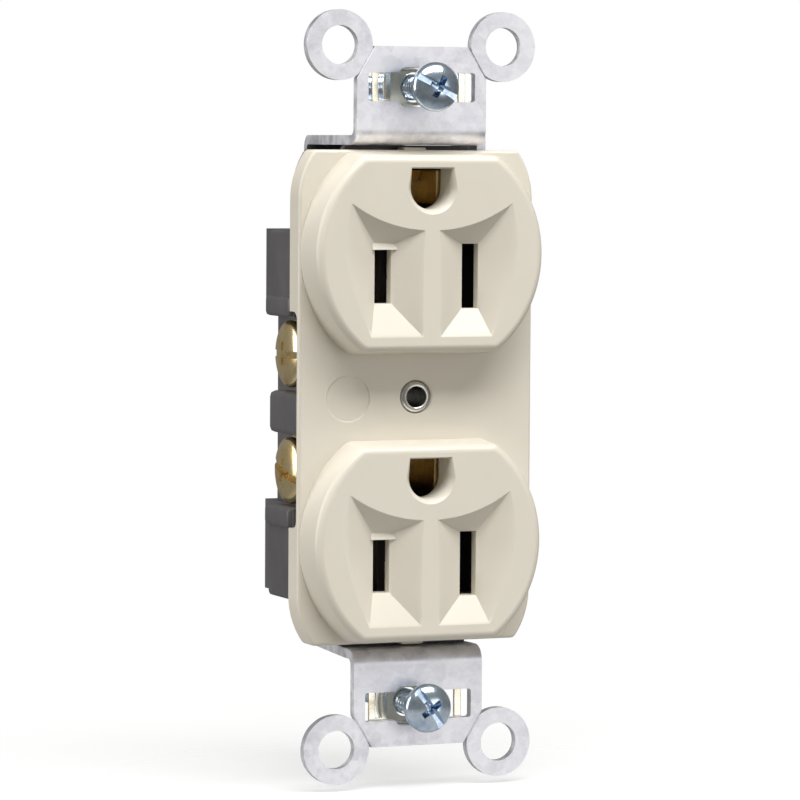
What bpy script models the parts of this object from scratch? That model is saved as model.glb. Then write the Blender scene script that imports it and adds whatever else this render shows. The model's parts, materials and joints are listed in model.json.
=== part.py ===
"""Duplex wall outlet: two three-slot receptacle faces on a wraparound steel strap.

Frame: +Z up, -Y out into the room, +Y into the wall. The origin is the centre of the wall plane,
which is the rear face of the strap's two mounting plates. Sizes below are millimetres.
"""

import math

import bmesh
import bpy
from mathutils import Matrix, Vector

MM = 0.001
GAP = 0.3

# Mounting strap: two front plates with plaster ears, joined round the back of the body.
STRAP_T = 1.3
STRAP_HALF_W = 9.39
STRAP_END_Z = 47.1
STRAP_END_HALF_W = 6.8
STRAP_SCORE_Z = 42.8
STRAP_BEND_Z = 36.1
STRAP_BEND_R = 2.2
STRAP_REAR_HALF_W = 7.0
EAR_X, EAR_Z = 11.88, 47.2
EAR_R, EAR_HOLE_R = 4.7, 2.6
SLOT_Z = 41.67
SLOT_HALF_L, SLOT_HALF_W = 7.76, 1.95
RELIEF_HALF_L, RELIEF_HALF_W = 3.3, 2.65

# Cover: a shallow shell with two raised faces.
FACE_Z = 19.4
COVER_HALF_W, COVER_HALF_L = 17.05, 33.25
# The long sides curve in towards the ends from this height, and meet them in a small corner.
COVER_CURVE_Z, COVER_CURVE_R, COVER_CORNER_R = 26.6, 11.0, 0.9
HOLLOW_CORNER_R = 0.5
NIB_HALF_W, NIB_Y, NIB_Z = 1.6, (0.9, 3.3), (32.5, 33.6)
COVER_FRONT, COVER_WALL, COVER_REAR = 0.1, 2.0, 3.5
SKIRT_T = 1.6
NOTCH_LOW, NOTCH_HIGH, NOTCH_REAR = -17.5, 11.6, 0.8
FACE_FRONT, FACE_R, FACE_FLAT, FACE_EDGE_R = -5.2, 16.82, 13.63, 1.1
FACE_CAP_T, FACE_SIDE_T, FACE_ROOT = 4.2, 2.2, 1.6
BLADE_X, BLADE_DZ = 6.35, -3.03
BLADE_SLOT_W, HOT_SLOT_H, NEUTRAL_SLOT_H = 2.4, 7.2, 8.7
FUNNEL_DEPTH = 2.0
# Corners of a funnel's mouth: distance outward from the centre line, and height above the face's centre.
FUNNEL_MOUTH = ((1.4, 3.2), (11.7, 6.9), (12.7, 0.0), (9.3, -11.2), (1.5, -11.2))
PIN_DZ, PIN_HALF_W, PIN_TOP_DZ = 8.86, 2.9, 11.39
POST_Z = (13.0, -26.0)
POST_R, POST_BORE_R, POST_ROOT, POST_END = 2.6, 1.45, -2.0, 14.0

# Rear body.
BODY_REAR, BODY_FLOOR, BODY_WALL = 22.0, 1.5, 1.3
FLANGE_FRONT, FLANGE_REAR = 3.8, 5.2
FLANGE_HALF_W, FLANGE_CURVE_Z = 16.25, 27.0
RIB_HALF_W, RIB_Z = 9.2, (32.8, 33.6)
END_HALF_W, FIN_CORE_HALF_W, TERMINAL_HALF_W = 9.2, 13.3, 11.5
END_TAPER_Z, END_TOP_HALF_W = 29.0, 7.6
CHANNEL_OUTER_X = 10.0
UPPER_FIN = (10.8, 22.3)
MIDDLE_FIN = (-5.2, 0.5)
LOWER_FIN = (-27.5, -15.1)
FIN_X, FIN_REAR = 16.4, 13.1
FIN_FLARE_X, FIN_FLARE_H, FIN_FLARE_PROUD = 16.95, 2.7, 0.1
FIN_EDGE_R, MIDDLE_FIN_EDGE_R = 0.6, 0.8
BAR_X, BAR_OUTER_X, BAR_FRONT, BAR_REAR = 12.8, 15.2, 2.4, 3.6
BODY_HALF_L = 33.2
CENTRE_CHANNEL_HALF_W, DIVIDER_X = 3.6, 4.6
CONTACT_CHANNEL_Z = (-27.0, 21.0)
UPPER_POCKET_Z, LOWER_POCKET_Z = 22.6, -28.4
POCKET_END_Z = 30.4
NOTCH_BACK = 14.1
EYELET_BOSS_R = 4.0
GROUND_ROOM_R, GROUND_ROOM_X = 2.6, (6.2, 11.0)

# Contacts and terminals.
BRASS_T = 0.8
LEAF_T, LEAF_GAP, LEAF_HALF_H = 0.7, 1.5, 3.5
LEAF_FRONT, CONTACT_FLOOR = 5.0, 19.9
SPINE_X = 8.8
PAD_X = 11.7
PAD_FRONT, PAD_REAR = 3.0, 13.0
TERMINAL_Z = (5.6, -10.2)
TERMINAL_Y = 8.6
PAD_HALF_H = 4.4
LINK_FRONT, LINK_REAR = 7.4, 9.8
CLAMP_X, CLAMP_T = 13.1, 0.9
TERMINAL_HEAD_R, TERMINAL_HEAD_T, TERMINAL_SHANK_R = 4.55, 1.9, 2.05
TERMINAL_TIP_X = 7.6
SCREW_CLEARANCE = 0.3
GROUND_LEAF_X, GROUND_LEAF_HALF_H, GROUND_LEAF_FRONT = 2.4, 2.3, -0.6
GROUND_TERMINAL_Y, GROUND_TERMINAL_Z = 10.5, 28.5
GROUND_TERMINAL_HEAD_R, GROUND_TERMINAL_HEAD_T = 4.2, 2.0
GROUND_TAB_X, GROUND_TAB_LOW, GROUND_TAB_Y, GROUND_ARM_X = 11.3, 23.8, (6.0, 15.0), 5.0
BUS_Z = (-26.0, 20.0)
BRIDGE_HALF_H = 3.2
CLAMP_HALF_W, CLAMP_HALF_H, CLAMP_EDGE_R = 4.0, 4.1, 0.5

# Rivets and assembly screws that go through the back of the body and the strap.
REAR_HEAD_Y = BODY_REAR + GAP + STRAP_T + GAP
RIVET_HOLE_R, RIVET_HEAD_R, RIVET_HEAD_T, RIVET_SHANK_R = 1.4, 2.0, 0.8, 1.1
ASSEMBLY_HOLE_R, ASSEMBLY_HEAD_R, ASSEMBLY_HEAD_T = 1.6, 2.4, 1.4
ASSEMBLY_SHANK_R, ASSEMBLY_TIP_Y = 1.15, 6.0

# Mounting screws: how far each head stands in front of the strap, underside first.
MOUNT_HEAD_STAND = {"upper": 4.1, "lower": 2.8}
MOUNT_WASHER_Y = {"upper": 1.3, "lower": 2.6}
MOUNT_HEAD_R, MOUNT_HEAD_T, MOUNT_SHANK_R, MOUNT_SHANK_L = 3.3, 2.2, 1.75, 22.0
WASHER_R, WASHER_T = 4.4, 0.8

# Centre eyelet.
EYELET_OUTER_R, EYELET_BORE_R, EYELET_RIM_R, EYELET_TAIL_R = 1.95, 1.45, 2.175, 2.7
EYELET_SEAT_DEPTH = 0.8

# Grounding clips behind the strap's openings, each with a narrow and a wide window.
CLIP_X, CLIP_HALF_H, CLIP_T = (-6.5, 7.0), 3.9, 0.5
CLIP_NARROW_X, CLIP_NARROW_HALF_H = (-5.6, -4.7), 1.7
CLIP_WIDE_X, CLIP_WIDE_HALF_H = (-3.9, 6.0), 2.3

# Driver slots in the screw heads.
DRIVER_HALF_W, CROSS_HALF_L, CROSS_EXTRA_DEPTH = 0.55, 1.7, 0.3
HEXAGON_SIDES = 6

for stale in list(bpy.data.objects):
    bpy.data.objects.remove(stale)

PARTS = bpy.data.collections.new("duplex_wall_outlet")
TOOLS = bpy.data.collections.new("cutters")
bpy.context.scene.collection.children.link(PARTS)
bpy.context.scene.collection.children.link(TOOLS)


# ---- Materials ----

def material(name, colour, roughness, metallic=0.0):
    made = bpy.data.materials.new(name)
    made.use_nodes = True
    shader = made.node_tree.nodes["Principled BSDF"]
    shader.inputs["Base Color"].default_value = (*colour, 1.0)
    shader.inputs["Roughness"].default_value = roughness
    shader.inputs["Metallic"].default_value = metallic
    return made


IVORY = material("ivory_nylon", (0.72, 0.66, 0.52), 0.35)
DARK_PLASTIC = material("dark_nylon", (0.09, 0.09, 0.10), 0.5)
GALVANISED = material("galvanised_steel", (0.62, 0.63, 0.66), 0.4, 1.0)
BRASS = material("brass", (0.78, 0.57, 0.25), 0.3, 1.0)
ZINC = material("zinc_plated_steel", (0.60, 0.66, 0.74), 0.25, 1.0)
STEEL = material("plain_steel", (0.55, 0.54, 0.52), 0.35, 1.0)
NICKEL = material("nickel_plated", (0.72, 0.71, 0.68), 0.28, 1.0)
GREEN = material("green_plated_steel", (0.05, 0.32, 0.12), 0.35, 0.7)
FIBRE = material("natural_fibre", (0.70, 0.71, 0.66), 0.75)


# ---- Shape helpers ----

def place(obj, collection, finish=None):
    """Links an object, and gives it its material or marks it as a cutter."""
    collection.objects.link(obj)
    if finish is not None:
        obj.data.materials.append(finish)
    if collection is TOOLS:
        obj.hide_render = True
        obj.display_type = "WIRE"
    return obj


def from_bmesh(name, shape, collection=TOOLS, finish=None):
    bmesh.ops.recalc_face_normals(shape, faces=shape.faces)
    mesh = bpy.data.meshes.new(name)
    shape.to_mesh(mesh)
    shape.free()
    return place(bpy.data.objects.new(name, mesh), collection, finish)


def box(name, x, y, z, collection=TOOLS, finish=None):
    """Block between two values on each axis."""
    low = Vector((min(x), min(y), min(z)))
    high = Vector((max(x), max(y), max(z)))
    size = (high - low) * MM
    shape = bmesh.new()
    where = Matrix.Translation((low + high) / 2 * MM) @ Matrix.Diagonal((*size, 1.0))
    bmesh.ops.create_cube(shape, size=1.0, matrix=where)
    return from_bmesh(name, shape, collection, finish)


AXIS_TURN = {
    "X": Matrix(((0, 0, 1, 0), (1, 0, 0, 0), (0, 1, 0, 0), (0, 0, 0, 1))),
    "Y": Matrix(((1, 0, 0, 0), (0, 0, 1, 0), (0, 1, 0, 0), (0, 0, 0, 1))),
    "Z": Matrix.Identity(4),
}


def plate(name, loops, span, axis="Y", collection=TOOLS, finish=None):
    """Flat outline, its first loop, with any further loops as holes, extruded along an axis.

    The outline is in (x, z) for axis Y, in (y, z) for axis X and in (x, y) for axis Z.
    """
    curve = bpy.data.curves.new(name, "CURVE")
    curve.dimensions = "2D"
    curve.fill_mode = "BOTH"
    curve.extrude = abs(span[1] - span[0]) / 2 * MM
    for loop in loops:
        spline = curve.splines.new("POLY")
        spline.points.add(len(loop) - 1)
        for point, (u, v) in zip(spline.points, loop):
            point.co = (u * MM, v * MM, 0.0, 1.0)
        spline.use_cyclic_u = True
    guide = bpy.data.objects.new(name + "_outline", curve)
    TOOLS.objects.link(guide)
    bpy.context.view_layer.update()
    graph = bpy.context.evaluated_depsgraph_get()
    mesh = bpy.data.meshes.new_from_object(guide.evaluated_get(graph))
    bpy.data.objects.remove(guide)
    bpy.data.curves.remove(curve)
    shape = bmesh.new()
    shape.from_mesh(mesh)
    bpy.data.meshes.remove(mesh)
    bmesh.ops.remove_doubles(shape, verts=shape.verts, dist=1e-6)
    middle = Matrix.Translation((0.0, 0.0, sum(span) / 2 * MM))
    bmesh.ops.transform(shape, matrix=AXIS_TURN[axis] @ middle, verts=shape.verts)
    return from_bmesh(name, shape, collection, finish)


def turned(name, profile, centre, axis, steps=24, collection=TOOLS, finish=None, closed=False):
    """Profile of (radius, distance along the axis), turned by a Screw modifier.

    It runs from the far end of the axis down the outer side to the near end.
    """
    mesh = bpy.data.meshes.new(name)
    points = [(r * MM, 0.0, h * MM) for r, h in profile]
    edges = [(i, i + 1) for i in range(len(points) - 1)]
    if closed:
        edges.append((len(points) - 1, 0))
    mesh.from_pydata(points, edges, [])
    obj = place(bpy.data.objects.new(name, mesh), collection, finish)
    obj.rotation_mode = "QUATERNION"
    obj.rotation_quaternion = Vector(axis).to_track_quat("Z", "Y")
    obj.location = Vector(centre) * MM
    screw = obj.modifiers.new("turn", "SCREW")
    screw.steps = steps
    screw.render_steps = steps
    screw.use_merge_vertices = True
    screw.merge_threshold = 1e-6
    screw.use_smooth_shade = False
    return obj


def cylinder(name, radius, start, end, axis, centre, steps=20):
    """Round cutter or boss along an axis through a centre, between two distances from it."""
    profile = [(0.0, end), (radius, end), (radius, start), (0.0, start)]
    return turned(name, profile, centre, axis, steps)


def along_y(name, radius, start, end, z=0.0, steps=20):
    """Round cutter or boss from front to back on the centre line."""
    return cylinder(name, radius, start, end, (0, 1, 0), (0, 0, z), steps)


# The cover's many near-level slopes leave the EXACT solver with open seams.
SOLVER_OF = {"front_cover": "MANIFOLD"}


def use(target, tool, operation):
    step = target.modifiers.new(operation.lower() + "_" + tool.name, "BOOLEAN")
    step.operation = operation
    step.object = tool
    step.solver = SOLVER_OF.get(target.name, "EXACT")


def cut(target, *tools):
    for tool in tools:
        use(target, tool, "DIFFERENCE")


def join(target, *tools):
    for tool in tools:
        use(target, tool, "UNION")


def soften(target, width, segments=2, angle=50.0):
    bevel = target.modifiers.new("soften", "BEVEL")
    bevel.width = width * MM
    bevel.segments = segments
    bevel.limit_method = "ANGLE"
    bevel.angle_limit = math.radians(angle)
    return bevel


def smooth(obj):
    """Shades round stretches smooth and keeps the edges crisp."""
    obj.data.shade_smooth()
    obj.data.set_sharp_from_angle(angle=math.radians(35.0))


def arc(centre, radius, start, end, steps):
    """Points along an arc, angles in degrees."""
    points = []
    for i in range(steps + 1):
        angle = math.radians(start + (end - start) * i / steps)
        points.append((centre[0] + radius * math.cos(angle), centre[1] + radius * math.sin(angle)))
    return points


def circle(centre, radius, steps=28):
    return arc(centre, radius, 0.0, 360.0, steps)[:-1]


def drawn_in_rectangle(half_w, half_l, curve_z, curve_r, corner_r):
    """Tall rectangle whose long sides curve in at both ends and meet them in small corners."""
    reach = curve_r - corner_r
    turn = math.degrees(math.asin((half_l - corner_r - curve_z) / reach))
    side_centre = (half_w - curve_r, curve_z)
    corner_centre = (
        side_centre[0] + reach * math.cos(math.radians(turn)),
        half_l - corner_r,
    )
    quarter = arc(side_centre, curve_r, 0.0, turn, 5)[:-1] + arc(corner_centre, corner_r, turn, 90.0, 3)
    upper = quarter + [(-x, z) for x, z in reversed(quarter)]
    return upper + [(-x, -z) for x, z in upper]


def rectangle(u, v):
    return [(u[0], v[0]), (u[1], v[0]), (u[1], v[1]), (u[0], v[1])]


def flat_sided_circle(centre_z, radius, flat, steps=12):
    """Circle cut by two level flats, one above and one below its centre."""
    edge = math.degrees(math.asin(flat / radius))
    right = arc((0.0, centre_z), radius, -edge, edge, steps)
    left = arc((0.0, centre_z), radius, 180.0 - edge, 180.0 + edge, steps)
    return right + left


def u_outline(centre_z, grow=0.0):
    """Grounding hole: level on top, half round below."""
    half = PIN_HALF_W + grow
    middle = centre_z + PIN_DZ
    lower = arc((0.0, middle), half, 180.0, 360.0, 12)
    top = centre_z + PIN_TOP_DZ + grow
    return lower + [(half, top), (-half, top)]


def hull(name, *sections):
    """Convex solid round outlines, each a list of (x, z) with its y."""
    shape = bmesh.new()
    for outline, y in sections:
        for x, z in outline:
            shape.verts.new((x * MM, y * MM, z * MM))
    bmesh.ops.convex_hull(shape, input=shape.verts)
    return from_bmesh(name, shape)


# ---- Cover ----

def blade_funnel(side, slot_h, face_z):
    """Sloped lead-in round one blade slot, and the slot itself."""
    name = f"blade_{side}_{face_z}"
    mouth = [(side * x, face_z + dz) for x, dz in FUNNEL_MOUTH]
    middle = face_z + BLADE_DZ
    across = (side * BLADE_X - BLADE_SLOT_W / 2, side * BLADE_X + BLADE_SLOT_W / 2)
    rows = (middle - slot_h / 2, middle + slot_h / 2)
    rim = FACE_FRONT - 0.02
    throat = (rectangle(across, rows), FACE_FRONT + FUNNEL_DEPTH)
    funnel = hull("funnel_" + name, (mouth, rim - 1.0), (mouth, rim), throat)
    slot = box("slot_" + name, across, (FACE_FRONT, COVER_REAR), rows)
    return funnel, slot


def make_cover():
    curve = (COVER_CURVE_Z, COVER_CURVE_R, COVER_CORNER_R)
    outline = drawn_in_rectangle(COVER_HALF_W, COVER_HALF_L, *curve)
    cover = plate("front_cover", [outline], (COVER_FRONT, COVER_REAR), "Y", PARTS, IVORY)
    curve = (COVER_CURVE_Z, COVER_CURVE_R - SKIRT_T, HOLLOW_CORNER_R)
    inner = drawn_in_rectangle(COVER_HALF_W - SKIRT_T, COVER_HALF_L - SKIRT_T, *curve)
    cut(cover, plate("cover_hollow", [inner], (COVER_FRONT + COVER_WALL, COVER_REAR + 1)))
    for side in (-1, 1):
        skirt_x = (side * (COVER_HALF_W - SKIRT_T - GAP), side * (COVER_HALF_W + 1))
        cut(cover, box(f"skirt_notch_{side}", skirt_x, (NOTCH_REAR, COVER_REAR + 1), (NOTCH_LOW, NOTCH_HIGH)))
    for side in (-1, 1):
        nib_z = (side * NIB_Z[0], side * NIB_Z[1])
        join(cover, box(f"end_nib_{side}", (-NIB_HALF_W, NIB_HALF_W), NIB_Y, nib_z))
    for face_z in (FACE_Z, -FACE_Z):
        raised = plate(
            f"raised_face_{face_z}",
            [flat_sided_circle(face_z, FACE_R, FACE_FLAT)],
            (FACE_FRONT, FACE_ROOT),
        )
        soften(raised, FACE_EDGE_R, 2)
        join(cover, raised)
        pocket = flat_sided_circle(face_z, FACE_R - FACE_SIDE_T, FACE_FLAT - FACE_SIDE_T, 10)
        cut(cover, plate(f"face_pocket_{face_z}", [pocket], (FACE_FRONT + FACE_CAP_T, COVER_REAR + 1)))
    for face_z in (FACE_Z, -FACE_Z):
        for side, height in ((-1, HOT_SLOT_H), (1, NEUTRAL_SLOT_H)):
            cut(cover, *blade_funnel(side, height, face_z))
        cut(cover, plate(f"pin_hole_{face_z}", [u_outline(face_z)], (FACE_FRONT - 1, COVER_REAR)))
    for post_z in POST_Z:
        join(cover, along_y(f"post_{post_z}", POST_R, POST_ROOT, POST_END, post_z, 20))
        cut(cover, along_y(f"post_bore_{post_z}", POST_BORE_R, BAR_FRONT, POST_END + 1, post_z, 16))
    cut(cover, along_y("eyelet_hole", EYELET_OUTER_R + GAP, -2.0, 6.0))
    cut(cover, along_y("eyelet_seat", EYELET_RIM_R + GAP, -2.0, COVER_FRONT + EYELET_SEAT_DEPTH))


# ---- Rear body ----

def core_block(name, half_w, low, high):
    return box(name, (-half_w, half_w), (BAR_FRONT, BODY_REAR), (low, high))


def make_body():
    body = box(
        "rear_body", (-END_HALF_W, END_HALF_W), (BAR_FRONT, BODY_REAR),
        (-BODY_HALF_L, BODY_HALF_L), PARTS, DARK_PLASTIC,
    )
    inside = (2, BODY_REAR - BODY_FLOOR)
    end_wall = BODY_HALF_L - BODY_WALL
    skirt_inner = COVER_HALF_L - SKIRT_T - GAP
    slope = (END_HALF_W - END_TOP_HALF_W) / (BODY_HALF_L - END_TAPER_Z)
    for side in (-1, 1):
        step_z = (side * skirt_inner, side * (BODY_HALF_L + 1))
        cut(body, box(f"end_step_{side}", (-11, 11), (2, FLANGE_FRONT), step_z))
        for end in (-1, 1):
            corner = [
                (side * (END_HALF_W + slope), end * (END_TAPER_Z - 1)),
                (side * (END_TOP_HALF_W - slope), end * (BODY_HALF_L + 1)),
                (side * (END_HALF_W + 2), end * (BODY_HALF_L + 1)),
                (side * (END_HALF_W + 2), end * (END_TAPER_Z - 1)),
            ]
            cut(body, plate(f"end_taper_{side}_{end}", [corner], (0, BODY_REAR + 1)))
    curve = (FLANGE_CURVE_Z, COVER_CURVE_R, COVER_CORNER_R)
    flange = drawn_in_rectangle(FLANGE_HALF_W, BODY_HALF_L, *curve)
    flange = plate("flange", [flange], (FLANGE_FRONT, FLANGE_REAR))
    opening = (LOWER_FIN[1], UPPER_FIN[0])
    for side in (-1, 1):
        span = (side * TERMINAL_HALF_W, side * (COVER_HALF_W + 1))
        cut(flange, box(f"flange_gap_{side}", span, (2, 6), opening))
    join(body, flange)
    for side in (-1, 1):
        rib_z = (side * RIB_Z[0], side * RIB_Z[1])
        rib_y = (FLANGE_FRONT + 0.1, FLANGE_REAR - 0.1)
        join(body, box(f"end_rib_{side}", (-RIB_HALF_W, RIB_HALF_W), rib_y, rib_z))
    join(body, core_block("terminal_core", TERMINAL_HALF_W, LOWER_FIN[1] - 1, UPPER_FIN[0] + 1))
    for label, (low, high) in (("upper", UPPER_FIN), ("lower", LOWER_FIN)):
        join(body, core_block(label + "_fin_core", FIN_CORE_HALF_W, low, high))
        proud = FIN_FLARE_PROUD
        flare_z = (low - proud, low + FIN_FLARE_H) if low > 0 else (high - FIN_FLARE_H, high + proud)
        fin_y = (FLANGE_FRONT + 0.5, FIN_REAR)
        flare_y = (fin_y[0] - proud, fin_y[1] + proud)
        for side in (-1, 1):
            for name, start_x, outer_x, y, z in (
                ("fin", FIN_CORE_HALF_W - 1, FIN_X, fin_y, (low, high)),
                ("flare", FIN_CORE_HALF_W + 0.5, FIN_FLARE_X, flare_y, flare_z),
            ):
                fin = box(f"{label}_{name}_{side}", (side * start_x, side * outer_x), y, z)
                soften(fin, FIN_EDGE_R, 2)
                join(body, fin)
    for side in (-1, 1):
        ends = (LOWER_FIN[1] - 1.5, UPPER_FIN[0] + 1.5)
        notch_z = (LOWER_FIN[1] + GAP, UPPER_FIN[0] - GAP)
        notch = box(f"terminal_notch_{side}", (side * SPINE_X, side * BAR_X), (2, NOTCH_BACK), notch_z)
        cut(body, notch)
        bar = box(f"barrier_bar_{side}", (side * BAR_X, side * BAR_OUTER_X), (BAR_FRONT, BAR_REAR), ends)
        middle_x = (side * BAR_X, side * FIN_X)
        middle = box(f"middle_fin_{side}", middle_x, (BAR_FRONT + 0.1, FIN_REAR), MIDDLE_FIN)
        soften(middle, MIDDLE_FIN_EDGE_R, 2)
        join(body, bar, middle)
        channel_x = (side * DIVIDER_X, side * CHANNEL_OUTER_X)
        cut(body, box(f"contact_channel_{side}", channel_x, inside, CONTACT_CHANNEL_Z))
        for low, high in ((UPPER_POCKET_Z, POCKET_END_Z), (-POCKET_END_Z, LOWER_POCKET_Z)):
            end_x = (side * DIVIDER_X, side * (END_HALF_W - BODY_WALL))
            cut(body, box(f"end_pocket_{side}_{low}", end_x, inside, (low, high)))
    channel_x = (-CENTRE_CHANNEL_HALF_W, CENTRE_CHANNEL_HALF_W)
    cut(body, box("centre_channel", channel_x, inside, (-end_wall, end_wall)))
    join(body, along_y("eyelet_boss", EYELET_BOSS_R, BAR_FRONT + 0.2, BODY_REAR - 0.5))
    cut(body, along_y("eyelet_bore", EYELET_OUTER_R + GAP, 1.0, BODY_REAR + 1))
    for post_z in POST_Z:
        cut(body, along_y(f"screw_hole_{post_z}", ASSEMBLY_HOLE_R, 15.0, BODY_REAR + 1, post_z, 16))
    for rivet_z in (FACE_Z + PIN_DZ, -FACE_Z + PIN_DZ):
        cut(body, along_y(f"rivet_hole_{rivet_z}", RIVET_HOLE_R, 15.0, BODY_REAR + 1, rivet_z, 16))
    ground_centre = (0, GROUND_TERMINAL_Y, GROUND_TERMINAL_Z)
    cut(body, cylinder("ground_screw_room", GROUND_ROOM_R, *GROUND_ROOM_X, (1, 0, 0), ground_centre, 16))


# ---- Strap ----

def front_plate(sign):
    """Outline of one front plate, its opening, and its two ear discs."""
    def z(value):
        return sign * value
    outline = [
        (-STRAP_HALF_W, z(STRAP_BEND_Z)), (STRAP_HALF_W, z(STRAP_BEND_Z)),
        (STRAP_HALF_W, z(STRAP_SCORE_Z)), (STRAP_END_HALF_W, z(STRAP_END_Z)),
        (-STRAP_END_HALF_W, z(STRAP_END_Z)), (-STRAP_HALF_W, z(STRAP_SCORE_Z)),
    ]
    quarter = [
        (SLOT_HALF_L, SLOT_HALF_W), (RELIEF_HALF_L, SLOT_HALF_W),
        (RELIEF_HALF_L - 0.6, RELIEF_HALF_W), (0.0, RELIEF_HALF_W),
    ]
    upper_half = quarter + [(-x, v) for x, v in reversed(quarter[:-1])]
    lower_half = [(-x, -v) for x, v in upper_half]
    opening = [(x, z(SLOT_Z + v)) for x, v in upper_half + lower_half]
    return outline, opening


def strap_band():
    """Side profile of the band: plate edge, bend, leg, back, leg, bend and plate edge."""
    outer_r, inner_r = STRAP_BEND_R, STRAP_BEND_R - STRAP_T
    y_bend = -STRAP_T + STRAP_BEND_R
    rear_in = BODY_REAR + GAP
    rear_out = rear_in + STRAP_T
    leg_in = STRAP_BEND_Z - STRAP_BEND_R
    leg_out = leg_in + STRAP_T
    room_side = [(-STRAP_T, STRAP_BEND_Z)]
    room_side += [
        (y_bend + outer_r * math.cos(a), STRAP_BEND_Z + outer_r * math.sin(a))
        for a in (math.radians(v) for v in (202.5, 225.0, 247.5, 270.0))
    ]
    room_side += [(rear_in - 0.6, leg_in), (rear_in, leg_in - 0.6)]
    wall_side = [(rear_out, leg_out - 1.6), (rear_out - 1.6, leg_out)]
    wall_side += [
        (y_bend + inner_r * math.cos(a), STRAP_BEND_Z + inner_r * math.sin(a))
        for a in (math.radians(v) for v in (270.0, 240.0, 210.0, 180.0))
    ]
    inner = room_side + [(y, -z) for y, z in reversed(room_side)]
    outer = [(y, -z) for y, z in reversed(wall_side)] + wall_side
    return inner + outer


def make_strap():
    strap = plate("mounting_strap", [strap_band()], (-STRAP_HALF_W, STRAP_HALF_W), "X", PARTS, GALVANISED)
    for side in (-1, 1):
        taper = [
            (side * STRAP_HALF_W, 2.5), (side * (STRAP_HALF_W + 1), 2.5),
            (side * (STRAP_HALF_W + 1), 25.0), (side * STRAP_REAR_HALF_W, 25.0),
        ]
        cut(strap, plate(f"side_taper_{side}", [taper], (-40, 40), "Z"))
    for sign, label in ((1, "upper"), (-1, "lower")):
        outline, opening = front_plate(sign)
        join(strap, plate(f"{label}_plate", [outline, opening], (-STRAP_T, 0.0)))
        for side in (-1, 1):
            centre = (side * EAR_X, sign * EAR_Z)
            join(strap, plate(f"{label}_ear_{side}", [circle(centre, EAR_R, 28)], (-STRAP_T, 0.0)))
            cut(strap, plate(f"{label}_ear_hole_{side}", [circle(centre, EAR_HOLE_R, 20)], (-3, 1)))
    through = (BODY_REAR - 1, REAR_HEAD_Y + 1)
    cut(strap, along_y("strap_eyelet_hole", EYELET_OUTER_R + GAP, *through))
    for post_z in POST_Z:
        cut(strap, along_y(f"strap_screw_hole_{post_z}", ASSEMBLY_HOLE_R, *through, post_z, 16))
    for rivet_z in (FACE_Z + PIN_DZ, -FACE_Z + PIN_DZ):
        cut(strap, along_y(f"strap_rivet_hole_{rivet_z}", RIVET_HOLE_R, *through, rivet_z, 16))
    leg_in = STRAP_BEND_Z - STRAP_BEND_R
    leg_out = leg_in + STRAP_T
    tab_x = (GROUND_TAB_X, GROUND_TAB_X + STRAP_T)
    join(strap, box("ground_arm", (GROUND_ARM_X, tab_x[1]), GROUND_TAB_Y, (leg_in, leg_out)))
    join(strap, box("ground_tab", tab_x, GROUND_TAB_Y, (GROUND_TAB_LOW, leg_out)))
    tab_centre = (0, GROUND_TERMINAL_Y, GROUND_TERMINAL_Z)
    tap_x = (GROUND_TAB_X - 1, GROUND_TAB_X + STRAP_T + 1)
    cut(strap, cylinder("ground_tap", TERMINAL_SHANK_R + SCREW_CLEARANCE, *tap_x, (1, 0, 0), tab_centre))


def make_clip(label, sign):
    """Thin brass grounding clip that lies behind a strap opening and wipes the mounting screw."""
    clip_z = sign * SLOT_Z
    loops = [
        rectangle(x, (clip_z - half_h, clip_z + half_h))
        for x, half_h in (
            (CLIP_X, CLIP_HALF_H), (CLIP_NARROW_X, CLIP_NARROW_HALF_H), (CLIP_WIDE_X, CLIP_WIDE_HALF_H),
        )
    ]
    plate(f"grounding_clip_{label}", loops, (GAP, GAP + CLIP_T), "Y", PARTS, BRASS)


# ---- Contacts ----

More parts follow.
